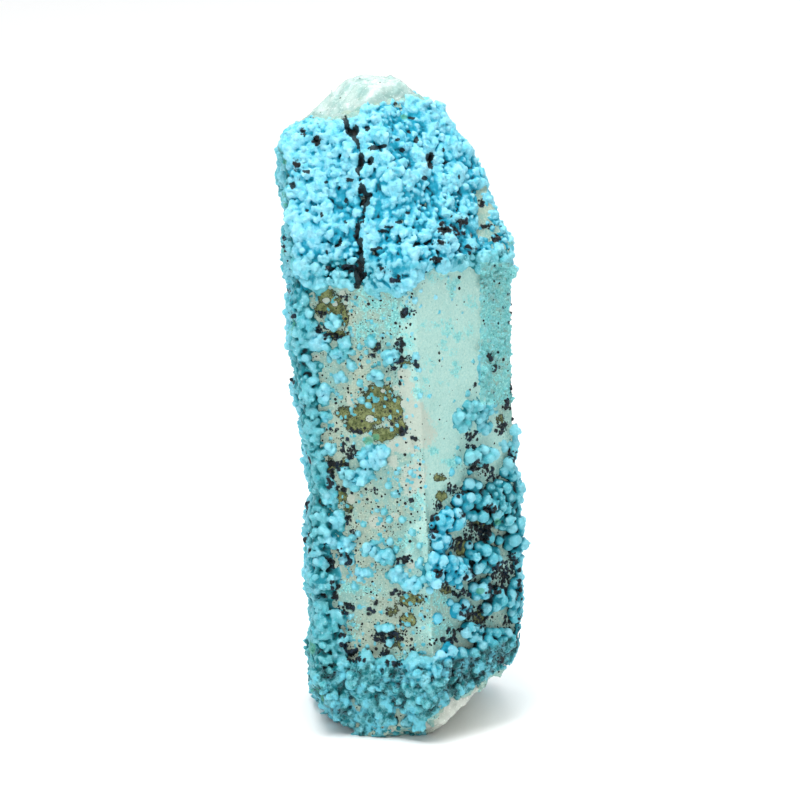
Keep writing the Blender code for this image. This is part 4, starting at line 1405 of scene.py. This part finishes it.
    # dark bloom: crowded small grains that thin out at the edges
    cd = g.cells(0.34, warp=wv.outputs[0])
    pickd = g.put("ShaderNodeSeparateColor")
    g.link(cd.outputs["Color"], pickd.inputs[0])
    dv = field(m_dark, 0.35, 0.75, 0.9)
    dstip = g.math("LESS_THAN", pickd.outputs[0], g.ramp(dv, 0.38, 0.78, 0.0, 1.0, smooth=False))
    dk = g.math("MULTIPLY", dstip, g.ramp(cd.outputs["Distance"], 0.62, 0.40))
    dk = g.math("MULTIPLY", dk, g.ramp(g.math("MULTIPLY", tint, m_crust), 0.25, 0.75, 1.0, 0.12))
    black = g.mix(g.ramp(nm, 0.45, 0.66), srgb(2, 10, 12), srgb(6, 34, 54))
    # painted highlight: lighter blue-grey spots on the black grains
    black = g.mix(g.ramp(nf, 0.54, 0.80, 0.0, 0.35), black, srgb(60, 104, 128))
    col = g.mix(dk, col, black)
    col = g.mix(g.ramp(grain, 0.25, 0.6), col, black)
    # painted shade: the deep openings and the crack are filled near-black
    col = g.mix(g.math("MULTIPLY", g.ramp(field(hole, 0.6, 0.5), 0.45, 0.8), 0.95), col, srgb(0, 8, 10))
    g.link(col, g.bsdf.inputs["Base Color"])

    isdark = g.math("MAXIMUM", dk, g.math("MAXIMUM", dots, g.ramp(grain, 0.25, 0.6)))
    r = g.ramp(nf, 0.3, 0.7, 0.38, 0.60)
    r = g.math("ADD", r, g.math("MULTIPLY", crm, 0.04))
    r = g.math("SUBTRACT", r, g.math("MULTIPLY", isdark, 0.16), clamp=True)
    g.link(r, g.bsdf.inputs["Roughness"])
    g.bsdf.inputs["IOR"].default_value = 1.50
    g.bsdf.inputs["Specular IOR Level"].default_value = 0.30
    g.bsdf.inputs["Subsurface Weight"].default_value = 0.08
    g.bsdf.inputs["Subsurface Radius"].default_value = (0.35, 0.6, 0.7)
    g.bsdf.inputs["Subsurface Scale"].default_value = 0.0006

    # small knobs on the crust, pits in the film
    ck = g.cells(0.34)
    knob = g.math("MULTIPLY", g.ramp(ck.outputs["Distance"], 0.0, 0.6, 1.0, 0.0), m_crust)
    h1 = g.math("MULTIPLY", nf0, g.ramp(m_crust, 0.0, 1.0, 0.6, 0.9))
    h1 = g.math("ADD", h1, g.math("MULTIPLY", knob, 0.55))
    h1 = g.math("SUBTRACT", h1, g.math("MULTIPLY", dots, 0.8))
    h1 = g.math("ADD", h1, g.math("MULTIPLY", g.math("SUBTRACT", crest_highlight, trough_shade), 0.35))
    h1 = g.math("SUBTRACT", h1, g.math("MULTIPLY", g.ramp(ov, 0.44, 0.5), 0.5))
    h1 = g.math("ADD", h1, g.math("MULTIPLY", dk, 0.5))
    g.link(g.bump(h1, 0.12, 0.9), g.bsdf.inputs["Normal"])
    return g.mat


def quartz_material():
    g = Nodes("milky_quartz")
    tipm, foot, n1, n2 = g.attr("stain")
    nf = g.noise(0.35, 3.0, 0.6)
    nl = g.noise(2.2, 3.0, 0.55, shift=0.02)
    col = g.mix(g.ramp(nl, 0.35, 0.7), srgb(158, 196, 190), srgb(206, 226, 220))
    col = g.mix(g.ramp(nf, 0.5, 0.8, 0.0, 0.45), col, srgb(232, 242, 238))
    col = g.mix(g.math("MULTIPLY", foot, 0.75), col, g.mix(nl, srgb(206, 206, 190), srgb(240, 238, 226)))
    c = g.cells(0.8)
    pick = g.put("ShaderNodeSeparateColor")
    g.link(c.outputs["Color"], pick.inputs[0])
    dots = g.math("MULTIPLY", g.math("LESS_THAN", c.outputs["Distance"], 0.17), g.math("LESS_THAN", pick.outputs[0], 0.16))
    col = g.mix(g.math("MULTIPLY", dots, 0.85), col, srgb(40, 48, 44))
    g.link(col, g.bsdf.inputs["Base Color"])
    g.link(g.ramp(nf, 0.35, 0.7, 0.10, 0.30), g.bsdf.inputs["Roughness"])
    g.bsdf.inputs["IOR"].default_value = 1.544
    g.bsdf.inputs["Transmission Weight"].default_value = 0.15
    g.bsdf.inputs["Subsurface Weight"].default_value = 0.35
    g.bsdf.inputs["Subsurface Radius"].default_value = (1.6, 2.0, 1.9)
    g.bsdf.inputs["Subsurface Scale"].default_value = 0.0015
    g.link(g.bump(g.math("ADD", nf, g.math("MULTIPLY", nl, 0.6)), 0.12, 0.8), g.bsdf.inputs["Normal"])
    return g.mat


crust_mat = chrysocolla()
for ob in crusts:
    ob.data.materials.append(crust_mat)
quartz.data.materials.append(quartz_material())
pieces = crusts + [quartz]
for ob in pieces:
    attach(ob, "root")
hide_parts("chrysocolla_crystal")

# ---------------------------------------------------------------- the studio --
me = bpy.data.meshes.new("floor")
s = 1.6
me.from_pydata([(-s, -s, 0), (s, -s, 0), (s, s, 0), (-s, s, 0)], [], [(0, 1, 2, 3)])
floor = bpy.data.objects.new("floor", me)
bpy.context.scene.collection.objects.link(floor)
g = Nodes("studio_floor")
g.bsdf.inputs["Base Color"].default_value = (0.93, 0.94, 0.94, 1)
g.bsdf.inputs["Roughness"].default_value = 0.6
g.bsdf.inputs["Specular IOR Level"].default_value = 0.1
g.bsdf.inputs["Emission Color"].default_value = (1, 1, 1, 1)
g.bsdf.inputs["Emission Strength"].default_value = 0.03
floor.data.materials.append(g.mat)


def softbox(name, place, target, size, power, tint=(1, 1, 1)):
    L = bpy.data.lights.new(name, "AREA")
    L.shape = "RECTANGLE"
    L.size, L.size_y = size
    L.energy = power
    L.color = tint
    ob = bpy.data.objects.new(name, L)
    ob.location = place
    ob.rotation_euler = (Vector(target) - Vector(place)).to_track_quat("-Z", "Y").to_euler()
    bpy.context.scene.collection.objects.link(ob)
    return ob


softbox("ceiling", (0.30, 0.55, 1.4), (0.05, 0.3, 0), (2.0, 2.0), 26.0)
softbox("overhead", (-0.08, -0.16, 0.55), (0, 0, 0.03), (0.30, 0.30), 2.9)
softbox("front", (-0.22, -0.62, 0.36), (0, 0, 0.045), (0.25, 0.35), 1.0)
# the room: a pale surround, brightest at the horizon behind and beside the stand
world = bpy.data.worlds.new("studio")
world.use_nodes = True
wt = world.node_tree
bg = wt.nodes["Background"]
tc = wt.nodes.new("ShaderNodeTexCoord")
sx = wt.nodes.new("ShaderNodeSeparateXYZ")
wt.links.new(tc.outputs["Generated"], sx.inputs[0])
mr = wt.nodes.new("ShaderNodeMapRange")
mr.interpolation_type = "SMOOTHSTEP"
for sock, v in zip(mr.inputs, (0.0, 0.10, 0.45, 0.62, 0.20)):
    sock.default_value = v
wt.links.new(sx.outputs[2], mr.inputs[0])
wt.links.new(mr.outputs[0], bg.inputs["Strength"])
bg.inputs["Color"].default_value = (1, 1, 1, 1)
bpy.context.scene.world = world
bpy.context.scene.view_settings.view_transform = "Standard"

cam = bpy.data.cameras.new("camera")
cam.sensor_width = 36.0
cam.lens = 36.0 * PX * DIST / 800.0
cam.clip_end = 20.0
cam_ob = bpy.data.objects.new("camera", cam)
cam_ob.location = (EYE + SHIFT) * MM
cam_ob.rotation_euler = (math.pi / 2 - ELEV, 0.0, 0.0)
bpy.context.scene.collection.objects.link(cam_ob)
bpy.context.scene.camera = cam_ob

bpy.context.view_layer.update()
log("done")
